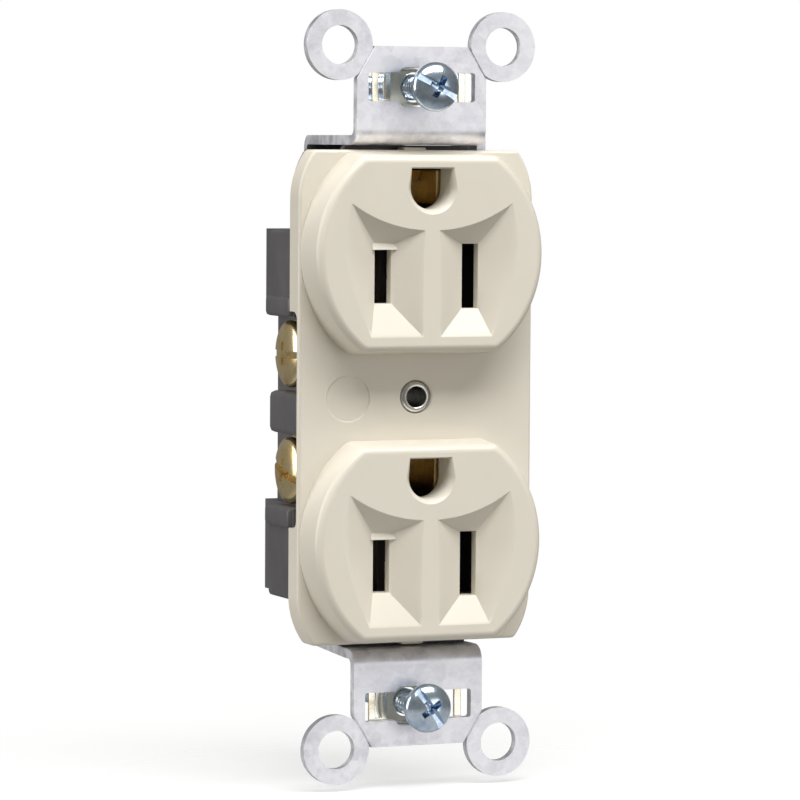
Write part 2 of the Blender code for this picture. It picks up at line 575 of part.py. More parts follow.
def make_bus(name, side, finish):
    """One pole: spine, two blade contacts, two terminal pads and the break-off link between them."""
    def span(a, b):
        return (side * a, side * b)
    spine_x = span(SPINE_X, SPINE_X + BRASS_T)
    bus = box(name, spine_x, (PAD_REAR, CONTACT_FLOOR), BUS_Z, PARTS, finish)
    inner = BLADE_X - LEAF_GAP / 2 - LEAF_T
    outer = BLADE_X + LEAF_GAP / 2
    for face_z in (FACE_Z, -FACE_Z):
        middle = face_z + BLADE_DZ
        rows = (middle - LEAF_HALF_H, middle + LEAF_HALF_H)
        base_x = span(inner, SPINE_X + BRASS_T / 2)
        base = box(f"{name}_base_{face_z}", base_x, (CONTACT_FLOOR - BRASS_T, CONTACT_FLOOR), rows)
        join(bus, base)
        for leaf_x in (inner, outer):
            leaf = box(
                f"{name}_leaf_{face_z}_{leaf_x}", span(leaf_x, leaf_x + LEAF_T),
                (LEAF_FRONT, CONTACT_FLOOR - 0.2), (rows[0] + 0.05, rows[1] - 0.05),
            )
            join(bus, leaf)
    for pad_z in TERMINAL_Z:
        pad_x = span(PAD_X, PAD_X + BRASS_T)
        rows = (pad_z - PAD_HALF_H, pad_z + PAD_HALF_H)
        join(bus, box(f"{name}_pad_{pad_z}", pad_x, (PAD_FRONT, PAD_REAR + BRASS_T), rows))
        bridge_z = (pad_z - BRIDGE_HALF_H, pad_z + BRIDGE_HALF_H)
        bridge_x = span(SPINE_X + 0.1, PAD_X + 0.2)
        bridge_y = (PAD_REAR + 0.05, PAD_REAR + BRASS_T - 0.05)
        join(bus, box(f"{name}_bridge_{pad_z}", bridge_x, bridge_y, bridge_z))
    link_z = (TERMINAL_Z[1] + PAD_HALF_H - 0.5, TERMINAL_Z[0] - PAD_HALF_H + 0.5)
    link_x = span(PAD_X + 0.1, PAD_X + BRASS_T - 0.1)
    join(bus, box(f"{name}_link", link_x, (LINK_FRONT, LINK_REAR), link_z))
    for pad_z in TERMINAL_Z:
        centre = (0, TERMINAL_Y, pad_z)
        tap_r = TERMINAL_SHANK_R + SCREW_CLEARANCE
        cut(bus, cylinder(f"{name}_tap_{pad_z}", tap_r, PAD_X - 1, PAD_X + 2, (side, 0, 0), centre))


def make_ground_contact(label, face_z):
    """U-shaped grounding contact: two leaves on a foot that is riveted to the strap."""
    pin_z = face_z + PIN_DZ
    name = f"ground_contact_{label}"
    rows = (pin_z - GROUND_LEAF_HALF_H, pin_z + GROUND_LEAF_HALF_H)
    reach = GROUND_LEAF_X + LEAF_T
    foot = box(name, (-reach, reach), (CONTACT_FLOOR - BRASS_T, CONTACT_FLOOR), rows, PARTS, BRASS)
    for side in (-1, 1):
        leaf_x = (side * GROUND_LEAF_X, side * reach)
        leaf_y = (GROUND_LEAF_FRONT, CONTACT_FLOOR - 0.2)
        join(foot, box(f"{name}_leaf_{side}", leaf_x, leaf_y, (rows[0] + 0.05, rows[1] - 0.05)))
    cut(foot, along_y(f"{name}_hole", RIVET_HOLE_R, CONTACT_FLOOR - 2, CONTACT_FLOOR + 1, pin_z, 16))


def make_ground_rivet(label, face_z):
    """Rivet through the contact's foot, the body floor and the strap."""
    head_in = CONTACT_FLOOR - BRASS_T - GAP
    inner_end = head_in - RIVET_HEAD_T * 0.75
    profile = [
        (0.0, REAR_HEAD_Y + RIVET_HEAD_T), (RIVET_HEAD_R - 0.5, REAR_HEAD_Y + RIVET_HEAD_T * 0.95),
        (RIVET_HEAD_R, REAR_HEAD_Y + RIVET_HEAD_T * 0.45), (RIVET_HEAD_R, REAR_HEAD_Y),
        (RIVET_SHANK_R, REAR_HEAD_Y), (RIVET_SHANK_R, head_in),
        (RIVET_HEAD_R, head_in), (RIVET_HEAD_R, inner_end), (0.0, inner_end),
    ]
    centre = (0, 0, face_z + PIN_DZ)
    smooth(turned(f"ground_rivet_{label}", profile, centre, (0, 1, 0), 20, PARTS, STEEL))


# ---- Fasteners ----

def make_eyelet():
    """Tubular rivet through cover, body and strap; the wall plate's screw threads into its bore."""
    front = COVER_FRONT + 0.2
    tail = REAR_HEAD_Y
    profile = [
        (EYELET_BORE_R, tail + 0.6), (EYELET_TAIL_R - 0.3, tail + 0.6), (EYELET_TAIL_R, tail + 0.3),
        (EYELET_TAIL_R, tail), (EYELET_OUTER_R, tail), (EYELET_OUTER_R, front + 0.3),
        (EYELET_RIM_R, front + 0.3), (EYELET_RIM_R, front - 0.1), (EYELET_RIM_R - 0.3, front - 0.3),
        (EYELET_BORE_R + 0.1, front - 0.3), (EYELET_BORE_R, front - 0.2),
    ]
    eyelet = turned("centre_eyelet", profile, (0, 0, 0), (0, 1, 0), 20, PARTS, STEEL, closed=True)
    smooth(eyelet)


def slotted_screw(name, finish, centre, axis, head_r, head_t, shank_r, shank_l, cross=False, hexagon=False):
    """Screw whose head's underside is at the centre; the shank runs against the axis."""
    shank = [(shank_r, -shank_l + 0.5), (shank_r - 0.5, -shank_l), (0.0, -shank_l)]
    if hexagon:
        head = [(0.0, head_t), (head_r - 0.5, head_t), (head_r, head_t - 0.35), (head_r, 0.0), (0.0, 0.0)]
        screw = turned(name, head, centre, axis, HEXAGON_SIDES, PARTS, finish)
        neck = [(0.0, 0.2), (shank_r, 0.2)]
        join(screw, turned(name + "_shank", neck + shank, centre, axis, 20))
    else:
        head = [(0.0, head_t), (head_r * 0.6, head_t * 0.93), (head_r * 0.92, head_t * 0.6)]
        head += [(head_r, head_t * 0.3), (head_r, 0.0), (shank_r, 0.0)]
        screw = turned(name, head + shank, centre, axis, 20, PARTS, finish)
    floor = head_t * 0.5
    slot_x = (-DRIVER_HALF_W, DRIVER_HALF_W)
    slots = [box(name + "_slot", slot_x, (-head_r - 1, head_r + 1), (floor, head_t + 1))]
    if cross:
        cross_x = (-CROSS_HALF_L, CROSS_HALF_L)
        slots.append(box(name + "_cross", cross_x, slot_x, (floor - CROSS_EXTRA_DEPTH, head_t + 1)))
    for tool in slots:
        tool.rotation_mode = "QUATERNION"
        tool.rotation_quaternion = Vector(axis).to_track_quat("Z", "Y")
        tool.location = Vector(centre) * MM
    cut(screw, *slots)
    smooth(screw)
    return screw


def make_mounting_screw(label, sign):
    """Captive screw that has been backed out, and the fibre washer that keeps it in the strap."""
    head_y = -STRAP_T - MOUNT_HEAD_STAND[label]
    centre = (0, head_y, sign * SLOT_Z)
    slotted_screw(
        f"mounting_screw_{label}", ZINC, centre, (0, -1, 0),
        MOUNT_HEAD_R, MOUNT_HEAD_T, MOUNT_SHANK_R, MOUNT_SHANK_L, cross=True,
    )
    near = MOUNT_WASHER_Y[label]
    bore = MOUNT_SHANK_R + GAP
    profile = [(bore, near + WASHER_T), (WASHER_R, near + WASHER_T), (WASHER_R, near), (bore, near)]
    washer = turned(
        f"retaining_washer_{label}", profile, (0, 0, sign * SLOT_Z), (0, 1, 0), 24, PARTS, FIBRE, closed=True,
    )
    smooth(washer)


def make_clamp(name, side, y, z, finish, reach_x):
    """Pressure plate between a terminal screw's head and its pad."""
    rows = (z - CLAMP_HALF_H, z + CLAMP_HALF_H)
    depth = (y - CLAMP_HALF_W, y + CLAMP_HALF_W)
    clamp = box(name, (side * reach_x, side * (reach_x + CLAMP_T)), depth, rows, PARTS, finish)
    soften(clamp, CLAMP_EDGE_R, 2, 60.0)
    hole_x = (reach_x - 1, reach_x + CLAMP_T + 1)
    cut(clamp, cylinder(name + "_hole", TERMINAL_SHANK_R + SCREW_CLEARANCE, *hole_x, (side, 0, 0), (0, y, z)))


def make_terminal(pole, label, side, z, finish):
    make_clamp(f"{pole}_clamp_{label}", side, TERMINAL_Y, z, finish, CLAMP_X)
    underside = CLAMP_X + CLAMP_T + GAP
    slotted_screw(
        f"{pole}_screw_{label}", finish, (side * underside, TERMINAL_Y, z), (side, 0, 0),
        TERMINAL_HEAD_R, TERMINAL_HEAD_T, TERMINAL_SHANK_R, underside - TERMINAL_TIP_X, cross=True,
    )


def make_ground_terminal():
    clamp_x = GROUND_TAB_X + STRAP_T + 0.6
    make_clamp("ground_clamp", 1, GROUND_TERMINAL_Y, GROUND_TERMINAL_Z, STEEL, clamp_x)
    underside = clamp_x + CLAMP_T + GAP
    slotted_screw(
        "ground_screw", GREEN, (underside, GROUND_TERMINAL_Y, GROUND_TERMINAL_Z), (1, 0, 0),
        GROUND_TERMINAL_HEAD_R, GROUND_TERMINAL_HEAD_T, TERMINAL_SHANK_R,
        underside - TERMINAL_TIP_X, hexagon=True,
    )


def make_assembly_screw(label, post_z):
    """Screw from behind the strap into the cover's post."""
    slotted_screw(
        f"assembly_screw_{label}", STEEL, (0, REAR_HEAD_Y, post_z), (0, 1, 0),
        ASSEMBLY_HEAD_R, ASSEMBLY_HEAD_T, ASSEMBLY_SHANK_R, REAR_HEAD_Y - ASSEMBLY_TIP_Y,
    )


make_cover()
make_body()
make_strap()
make_bus("hot_bus", -1, BRASS)
make_bus("neutral_bus", 1, NICKEL)
make_eyelet()
make_ground_terminal()
for end, end_sign in (("upper", 1), ("lower", -1)):
    make_clip(end, end_sign)
    make_mounting_screw(end, end_sign)
    make_ground_contact(end, end_sign * FACE_Z)
    make_ground_rivet(end, end_sign * FACE_Z)
for end, post_z, terminal_z in zip(("upper", "lower"), POST_Z, TERMINAL_Z):
    make_assembly_screw(end, post_z)
    make_terminal("hot", end, -1, terminal_z, BRASS)
    make_terminal("neutral", end, 1, terminal_z, NICKEL)
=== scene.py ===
"""Looks of the duplex wall outlet: detailed pieces over the fixed frame, materials, light and camera.

Shapes are written in millimetres in the row frame, and turned into metres when a mesh is made.
"""

import json
import math

import bmesh
import bpy
from mathutils import Matrix, Vector

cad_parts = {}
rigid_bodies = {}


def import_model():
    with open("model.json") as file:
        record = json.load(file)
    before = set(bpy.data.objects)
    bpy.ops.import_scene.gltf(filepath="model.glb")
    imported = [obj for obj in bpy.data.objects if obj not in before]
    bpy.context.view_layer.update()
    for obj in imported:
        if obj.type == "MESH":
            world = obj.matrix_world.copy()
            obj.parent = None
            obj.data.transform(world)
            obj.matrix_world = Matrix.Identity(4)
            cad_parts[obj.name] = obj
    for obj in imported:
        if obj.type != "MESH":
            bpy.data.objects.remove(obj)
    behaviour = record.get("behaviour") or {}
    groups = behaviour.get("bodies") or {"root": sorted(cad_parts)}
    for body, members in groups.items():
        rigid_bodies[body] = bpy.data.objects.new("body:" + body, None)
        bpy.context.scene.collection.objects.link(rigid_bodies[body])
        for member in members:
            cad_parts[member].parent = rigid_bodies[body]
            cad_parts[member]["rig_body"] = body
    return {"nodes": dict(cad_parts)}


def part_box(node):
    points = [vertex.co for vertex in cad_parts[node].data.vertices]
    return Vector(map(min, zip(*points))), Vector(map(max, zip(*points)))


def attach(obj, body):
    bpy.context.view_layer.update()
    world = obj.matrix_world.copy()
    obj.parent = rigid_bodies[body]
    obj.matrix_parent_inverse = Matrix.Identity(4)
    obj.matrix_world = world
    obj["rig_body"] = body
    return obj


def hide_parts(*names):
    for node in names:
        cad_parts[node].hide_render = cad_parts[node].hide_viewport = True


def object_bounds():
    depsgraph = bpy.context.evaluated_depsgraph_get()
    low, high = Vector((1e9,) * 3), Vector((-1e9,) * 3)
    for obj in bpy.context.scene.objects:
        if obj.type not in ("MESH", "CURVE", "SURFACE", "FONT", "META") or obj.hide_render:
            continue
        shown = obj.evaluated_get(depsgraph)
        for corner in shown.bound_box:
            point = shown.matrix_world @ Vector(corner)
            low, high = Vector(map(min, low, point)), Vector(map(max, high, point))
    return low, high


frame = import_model()
CAD_LOW, CAD_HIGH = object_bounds()

MM = 0.001
REARWARD = (0, 1, 0)


def span_mm(node):
    """Lowest and highest corner of a CAD node, in millimetres."""
    low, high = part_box(node)
    return low / MM, high / MM


# Sizes taken from the frame.
COVER_LOW, COVER_HIGH = span_mm("front_cover")
COVER_HALF_W = COVER_HIGH.x
COVER_EDGE_Z = 33.25
FACE_FRONT = COVER_LOW.y
STRAP_REAR = span_mm("mounting_strap")[1].y

# Cover.
COVER_FRONT, COVER_REAR, COVER_EDGE_R = 0.1, 3.5, 0.45
# Where the long sides start to curve in towards the ends, and the corners they end in.
COVER_CURVE_Z, COVER_CURVE_R, COVER_CORNER_R = 26.6, 11.0, 0.9
NIB_HALF_W, NIB_Y, NIB_Z = 1.6, (0.9, 3.3), (32.5, 33.6)
COVER_WALL, SKIRT_T = 2.0, 1.6
POCKET_CORNER = 1.2
# Notch in each skirt, round the terminals.
NOTCH_LOW, NOTCH_HIGH, NOTCH_FRONT, NOTCH_R = -17.5, 11.6, 0.8, 1.2
NOTCH_HALF_DEPTH = 3.0
FACE_Z = 19.4
FACE_R, FACE_FLAT, FACE_CORNER = 16.82, 13.63, 2.2
FACE_DRAFT, FACE_FILLET = 0.4, 1.15
# Depth at which a raised face starts inside the cover, and the thickness of its cap and wall.
FACE_ROOT, FACE_CAP_T, FACE_SIDE_T = 1.6, 4.2, 2.2
# Slots and holes of a face, from the face's own centre.
SLOT_X, SLOT_W, SLOT_TOP = 6.35, 2.4, 1.32
SLOT_BOTTOM = {-1: -6.63, 1: -7.38}
HOT_SLOT_TOP = 0.57
FUNNEL_DEPTH = 2.0
TOP_ARC_R, TOP_ARC_Z = 20.3, 23.5
PIN_DZ, PIN_HALF_W, PIN_TOP = 8.86, 2.9, 11.39
PIN_BEVEL, PIN_BEVEL_DEPTH = 0.6, 0.7
EJECTOR_X, EJECTOR_Z, EJECTOR_R, EJECTOR_DEPTH = -9.9, -0.1, 3.2, 0.16
POST_Z = (13.0, -26.0)
POST_R, POST_TIP_R, POST_REAR, POST_BORE_R = 2.6, 2.3, 14.0, 1.45

# Strap.
STRAP_T = 1.3
# Plates narrow from the score line's lower end, and end at PLATE_END_Z.
PLATE_HALF_W, PLATE_SCORE_Z, PLATE_END_HALF_W, PLATE_END_Z = 9.39, 42.8, 6.8, 47.1
BEND_Z, BEND_R = 36.1, 2.2
EAR_X, EAR_Z, EAR_R, EAR_HOLE_R = 11.88, 47.2, 4.7, 2.6
SCREW_Z = 41.67
WINDOW_HALF_W, WINDOW_HALF_H, WINDOW_R = 7.76, 1.95, 0.35
RELIEF_HALF_W, RELIEF_HALF_H, RELIEF_R = 3.3, 2.65, 0.9
# Legs narrow from TAPER_Y[0] to the width of the back at TAPER_Y[1].
STRAP_BACK_HALF_W, TAPER_Y = 7.0, (2.5, 25.0)
REAR_BEND_R = 0.7
SCORE_W, SCORE_DEPTH, SCORE_RUN_OUT = 0.36, 0.10, 0.4
EYELET_HOLE_R, ASSEMBLY_HOLE_R, RIVET_HOLE_R, GROUND_TAP_R = 2.25, 1.6, 1.4, 2.35
GROUND_TAB_X, GROUND_TAB_Y, GROUND_TAB_LOW = (11.3, 12.6), (6.0, 15.0), 23.8
GROUND_TAP_Y, GROUND_TAP_Z = 10.5, 28.5

# Rear body.
RIB_HALF_W, RIB_Y, RIB_ROOT, RIB_TOP = 9.0, (3.95, 5.05), 33.0, 33.86

# Screws: 6-32 and 8-32 have the same pitch.
THREAD_PITCH, THREAD_DEPTH, PLAIN_NECK = 0.79375, 0.38, 0.5
MOUNT_HEAD_T, MOUNT_SHANK_R = 2.2, 1.75
TERMINAL_HEAD_T, TERMINAL_SHANK_R = 1.9, 2.05
ASSEMBLY_HEAD_T, ASSEMBLY_SHANK_R = 1.4, 1.15
GROUND_HEAD_T = 2.0

# Eyelet: rolled rim in front, flared tail behind.
RIM_R, RIM_T, EYELET_TUBE_R, EYELET_BORE_R = 2.14, 0.5, 1.95, 1.38
TAIL_R, TAIL_T = 2.68, 0.6


# ---- Mesh helpers ----

def ring(points, y):
    """Outline in (x, z) at a depth."""
    return [(x, y, z) for x, z in points]


def loft(name, rings, closed=False):
    """Solid through rings with the same number of points, capped at both ends unless it closes on itself."""
    shape = bmesh.new()
    rows = [[shape.verts.new(Vector(p) * MM) for p in points] for points in rings]
    pairs = list(zip(rows, rows[1:]))
    if closed:
        pairs.append((rows[-1], rows[0]))
    for near, far in pairs:
        for i in range(len(near)):
            j = (i + 1) % len(near)
            shape.faces.new((near[i], near[j], far[j], far[i]))
    if not closed:
        shape.faces.new(rows[0])
        shape.faces.new(rows[-1])
    bmesh.ops.recalc_face_normals(shape, faces=shape.faces)
    mesh = bpy.data.meshes.new(name)
    shape.to_mesh(mesh)
    shape.free()
    obj = bpy.data.objects.new(name, mesh)
    bpy.context.scene.collection.objects.link(obj)
    return obj


def box(name, x, y, z):
    """Block between (low, high) pairs."""
    corners = [(x[0], z[0]), (x[1], z[0]), (x[1], z[1]), (x[0], z[1])]
    return loft(name, [ring(corners, y[0]), ring(corners, y[1])])


def arc(centre, radius, start, end, steps):
    """Points along an arc in (x, z), angles in degrees."""
    points = []
    for i in range(steps + 1):
        angle = math.radians(start + (end - start) * i / steps)
        points.append((centre[0] + radius * math.cos(angle), centre[1] + radius * math.sin(angle)))
    return points


def circle(centre, radius, steps=64):
    return arc(centre, radius, 0.0, 360.0, steps)[:-1]


def rounded_rectangle(half_w, half_l, radius, centre, steps):
    points = []
    for index, (sx, sz) in enumerate(((1, 1), (-1, 1), (-1, -1), (1, -1))):
        corner = (centre[0] + sx * (half_w - radius), centre[1] + sz * (half_l - radius))
        points += arc(corner, radius, 90.0 * index, 90.0 * (index + 1), steps)
    return points


def drawn_in_rectangle(half_w, half_l, curve_z, curve_r, corner_r):
    """Tall rectangle whose long sides curve in at both ends and meet them in small corners."""
    reach = curve_r - corner_r
    turn = math.degrees(math.asin((half_l - corner_r - curve_z) / reach))
    side_centre = (half_w - curve_r, curve_z)
    corner_centre = (side_centre[0] + reach * math.cos(math.radians(turn)), half_l - corner_r)
    quarter = arc(side_centre, curve_r, 0.0, turn, 20)[:-1] + arc(corner_centre, corner_r, turn, 90.0, 8)
    upper = quarter + [(-x, z) for x, z in reversed(quarter)]
    return upper + [(-x, -z) for x, z in upper]


def turned(name, profile, centre, axis, steps=64):
    """Solid of revolution: profile of (radius, height along the axis) from one end to the other."""
    turn = Vector(axis).to_track_quat("Z", "Y").to_matrix()
    rings = []
    for radius, height in profile:
        row = []
        for i in range(steps):
            angle = 2 * math.pi * i / steps
            local = Vector((radius * math.cos(angle), radius * math.sin(angle), height))
            row.append(Vector(centre) + turn @ local)
        rings.append(row)
    return loft(name, rings)


def final_mesh(obj):
    """Applies an object's modifiers to its mesh."""
    bpy.context.view_layer.update()
    graph = bpy.context.evaluated_depsgraph_get()
    mesh = bpy.data.meshes.new_from_object(obj.evaluated_get(graph))
    obj.modifiers.clear()
    obj.data = mesh
    return obj


def combine(target, operation, tools):
    """Joins tools to the target or cuts them from it, and removes them."""
    for tool in tools:
        step = target.modifiers.new(tool.name, "BOOLEAN")
        step.operation = operation
        step.object = tool
        step.solver = "MANIFOLD"
    final_mesh(target)
    for tool in tools:
        bpy.data.objects.remove(tool)
    return target


def join(target, *tools):
    return combine(target, "UNION", tools)


def cut(target, *tools):
    return combine(target, "DIFFERENCE", tools)


def clean(obj, dissolve=0.5):
    """Welds a mesh and merges its level triangles."""
    shape = bmesh.new()
    shape.from_mesh(obj.data)
    bmesh.ops.remove_doubles(shape, verts=shape.verts, dist=2e-6)
    bmesh.ops.dissolve_degenerate(shape, edges=shape.edges, dist=1e-6)
    bmesh.ops.dissolve_limit(
        shape, angle_limit=math.radians(dissolve), verts=shape.verts, edges=shape.edges
    )
    shape.to_mesh(obj.data)
    shape.free()
    return obj


def round_edges(obj, width, segments=2, angle=40.0):
    bevel = obj.modifiers.new("round_edges", "BEVEL")
    bevel.width = width * MM
    bevel.segments = segments
    bevel.limit_method = "ANGLE"
    bevel.angle_limit = math.radians(angle)
    bevel.use_clamp_overlap = True
    return final_mesh(obj)


def shade(obj, angle=32.0):
    """Smooth shading with crisp edges, weighted so that large flat faces stay flat."""
    obj.data.shade_smooth()
    obj.data.set_sharp_from_angle(angle=math.radians(angle))
    weighted = obj.modifiers.new("weighted_normals", "WEIGHTED_NORMAL")
    weighted.keep_sharp = True
    return obj


def piece(obj, node, finish):
    """Makes an object the visible piece for a CAD node, on that node's body."""
    obj.name = node + "_detailed"
    obj.data.name = obj.name
    obj.data.materials.clear()
    obj.data.materials.append(finish)
    shade(obj)
    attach(obj, frame["nodes"][node]["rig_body"])
    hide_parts(node)
    return obj


def refined(node, finish, width):
    """Piece with a CAD node's own shape and rounded edges."""
    obj = bpy.data.objects.new(node, frame["nodes"][node].data.copy())
    bpy.context.scene.collection.objects.link(obj)
    clean(obj)
    round_edges(obj, width)
    return piece(obj, node, finish)


# ---- Materials ----

class Finish:
    """Principled material whose colour, roughness and bump come from procedural textures."""

    def __init__(self, name, **settings):
        self.material = bpy.data.materials.new(name)
        self.material.use_nodes = True
        self.tree = self.material.node_tree
        self.shader = self.tree.nodes["Principled BSDF"]
        for socket, value in settings.items():
            self.shader.inputs[socket.replace("_", " ")].default_value = value
        self.place = self.tree.nodes.new("ShaderNodeTexCoord").outputs["Object"]

    def node(self, kind, links=None, values=None, **settings):
        made = self.tree.nodes.new(kind)
        for name, value in settings.items():
            setattr(made, name, value)
        for name, value in (values or {}).items():
            made.inputs[name].default_value = value
        for name, source in (links or {}).items():
            self.tree.links.new(source, made.inputs[name])
        return made

    def stretched(self, scale):
        """Object coordinates scaled differently on each axis."""
        made = self.node("ShaderNodeMapping", {"Vector": self.place}, {"Scale": scale})
        return made.outputs["Vector"]

    def noise(self, scale, detail=4.0, roughness=0.55, place=None):
        values = {"Scale": scale, "Detail": detail, "Roughness": roughness}
        made = self.node("ShaderNodeTexNoise", {"Vector": place or self.place}, values)
        return made.outputs["Fac"]

    def cells(self, scale):
        """Random shade for each cell of a Voronoi pattern."""
        made = self.node("ShaderNodeTexVoronoi", {"Vector": self.place}, {"Scale": scale})
        made = self.node("ShaderNodeSeparateColor", {"Color": made.outputs["Color"]})
        return made.outputs["Red"]

    def ramp(self, source, stops):
        """Colour between two (position, colour) stops."""
        made = self.node("ShaderNodeValToRGB", {"Fac": source})
        for element, (position, colour) in zip(made.color_ramp.elements, stops):
            element.position = position
            element.color = (*colour, 1.0)
        return made.outputs["Color"]

    def spread(self, source, low, high, start=0.3, end=0.7):
        values = {"From Min": start, "From Max": end, "To Min": low, "To Max": high}
        return self.node("ShaderNodeMapRange", {"Value": source}, values).outputs["Result"]

    def mix(self, factor, first, second):
        made = self.node("ShaderNodeMix", data_type="RGBA")
        colour_a, colour_b, colour_result = 6, 7, 2
        self.tree.links.new(factor, made.inputs["Factor"])
        self.tree.links.new(first, made.inputs[colour_a])
        self.tree.links.new(second, made.inputs[colour_b])
        return made.outputs[colour_result]

    def bump(self, source, strength, distance, under=None):
        links = {"Height": source}
        if under is not None:
            links["Normal"] = under
        values = {"Strength": strength, "Distance": distance * MM}
        return self.node("ShaderNodeBump", links, values).outputs["Normal"]

    def wire(self, **sources):
        """Links outputs to the shader's sockets and gives the finished material."""
        for socket, source in sources.items():
            self.tree.links.new(source, self.shader.inputs[socket.replace("_", " ")])
        return self.material


def moulded_plastic(name, light, dark, rough, coarse, subsurface=0.0):
    """Nylon: faint flow mottling at a coarse scale, a fine satin grain and slightly uneven gloss."""
    made = Finish(name, IOR=1.5)
    if subsurface:
        made.shader.inputs["Subsurface Weight"].default_value = subsurface
        made.shader.inputs["Subsurface Radius"].default_value = (0.9, 0.7, 0.45)
        made.shader.inputs["Subsurface Scale"].default_value = 0.8 * MM
    mottle = made.noise(coarse, 5.0, 0.6, made.stretched((1.0, 1.0, 0.6)))
    grain = made.noise(5200.0, 2.0, 0.5)
    colour = made.ramp(mottle, [(0.3, dark), (0.7, light)])
    return made.wire(
        Base_Color=colour,
        Roughness=made.spread(made.noise(coarse * 2.2, 4.0), *rough),
        Normal=made.bump(grain, 0.10, 0.02, made.bump(mottle, 0.12, 0.05)),
    )


def galvanised_steel():
    """Hot-dipped zinc: spangle cells of differing brightness, white bloom and rolled streaks."""
    made = Finish("galvanised_steel_finish", Metallic=1.0)
    spangle = made.cells(620.0)
    bloom = made.noise(330.0, 6.0, 0.65)
    streaks = made.noise(240.0, 4.0, 0.6, made.stretched((0.5, 1.0, 3.0)))
    patches = made.ramp(spangle, [(0.0, (0.76, 0.76, 0.82)), (1.0, (0.93, 0.93, 0.98))])
    clouds = made.ramp(bloom, [(0.36, (0.52, 0.52, 0.58)), (0.56, (0.95, 0.95, 1.00))])
    colour = made.mix(made.spread(streaks, 0.25, 0.75), patches, clouds)
    return made.wire(
        Base_Color=colour,
        Roughness=made.spread(bloom, 0.36, 0.58),
        Normal=made.bump(streaks, 0.18, 0.06, made.bump(bloom, 0.25, 0.05)),
    )


def plated(name, light, dark, rough, scale=420.0):
    """Plated or bare metal with tarnish in patches and fine marks; rough is for clean and tarnished."""
    made = Finish(name, Metallic=1.0)
    tarnish = made.noise(scale, 5.0, 0.6)
    marks = made.noise(2600.0, 3.0, 0.5, made.stretched((1.0, 1.0, 0.25)))
    colour = made.ramp(tarnish, [(0.30, dark), (0.62, light)])
    return made.wire(
        Base_Color=colour,
        Roughness=made.spread(tarnish, rough[1], rough[0]),
        Normal=made.bump(marks, 0.12, 0.02),
    )


def natural_fibre():
    """Pressed washer board with fibres laid across its thickness."""
    made = Finish("natural_fibre_finish", IOR=1.5)
    fibres = made.noise(900.0, 6.0, 0.7, made.stretched((1.0, 4.0, 1.0)))
    return made.wire(
        Base_Color=made.ramp(fibres, [(0.3, (0.58, 0.60, 0.52)), (0.7, (0.76, 0.77, 0.72))]),
        Roughness=made.spread(fibres, 0.6, 0.85),
        Normal=made.bump(fibres, 0.4, 0.05),
    )


IVORY = moulded_plastic(
    "ivory_nylon_finish", (0.735, 0.690, 0.598), (0.712, 0.665, 0.570), (0.28, 0.40), 55.0, 0.10
)
DARK = moulded_plastic(
    "dark_nylon_finish", (0.098, 0.094, 0.102), (0.072, 0.069, 0.077), (0.36, 0.52), 160.0
)
GALVANISED = galvanised_steel()
BRASS = plated("brass_finish", (0.95, 0.80, 0.48), (0.66, 0.46, 0.18), (0.14, 0.30))
NICKEL = plated("nickel_plate_finish", (0.80, 0.79, 0.75), (0.60, 0.58, 0.53), (0.18, 0.32))
ZINC = plated("zinc_plate_finish", (0.66, 0.76, 0.88), (0.34, 0.46, 0.62), (0.14, 0.28), 700.0)
STEEL = plated("steel_finish", (0.70, 0.69, 0.67), (0.46, 0.45, 0.43), (0.20, 0.36))
GREEN = plated("green_plate_finish", (0.09, 0.42, 0.17), (0.03, 0.22, 0.09), (0.22, 0.40))
FIBRE = natural_fibre()
CLIP_BRASS = plated("clip_brass_finish", (0.93, 0.88, 0.76), (0.78, 0.68, 0.50), (0.16, 0.30))


# ---- Cover ----

def flat_sided_circle(centre_z, inset, y, radius=FACE_R, flat=FACE_FLAT, corner=FACE_CORNER):
    """Circle cut by two level flats, its four corners rounded, drawn in by an inset."""
    core_r, core_flat, grow = radius - corner, flat - corner, corner - inset
    edge = math.degrees(math.asin(core_flat / core_r))
    corner_x = core_r * math.cos(math.radians(edge))
    half = arc((corner_x, -core_flat), grow, -90.0, -edge, 8)[:-1]
    half += arc((0.0, 0.0), core_r + grow, -edge, edge, 40)
    half += arc((corner_x, core_flat), grow, edge, 90.0, 8)[1:]
    whole = half + [(-x, -z) for x, z in half]
    return ring([(x, centre_z + z) for x, z in whole], y)


def raised_face(centre_z):
    """Drafted wall, then a fillet, up to the flat front."""
    rings = [
        flat_sided_circle(centre_z, 0.0, FACE_ROOT),
        flat_sided_circle(centre_z, 0.0, COVER_FRONT),
    ]
    shoulder = FACE_FRONT + FACE_FILLET
    rings.append(flat_sided_circle(centre_z, FACE_DRAFT, shoulder))
    steps = 8
    for i in range(1, steps + 1):
        angle = math.pi / 2 * i / steps
        inset = FACE_DRAFT + FACE_FILLET * (1 - math.cos(angle))
        rings.append(flat_sided_circle(centre_z, inset, shoulder - FACE_FILLET * math.sin(angle)))
    return loft(f"raised_face_{centre_z}", rings)


def along(start, end, steps):
    """Points from start up to, but not at, the end."""
    return [
        (start[0] + (end[0] - start[0]) * i / steps, start[1] + (end[1] - start[1]) * i / steps)
        for i in range(steps)
    ]


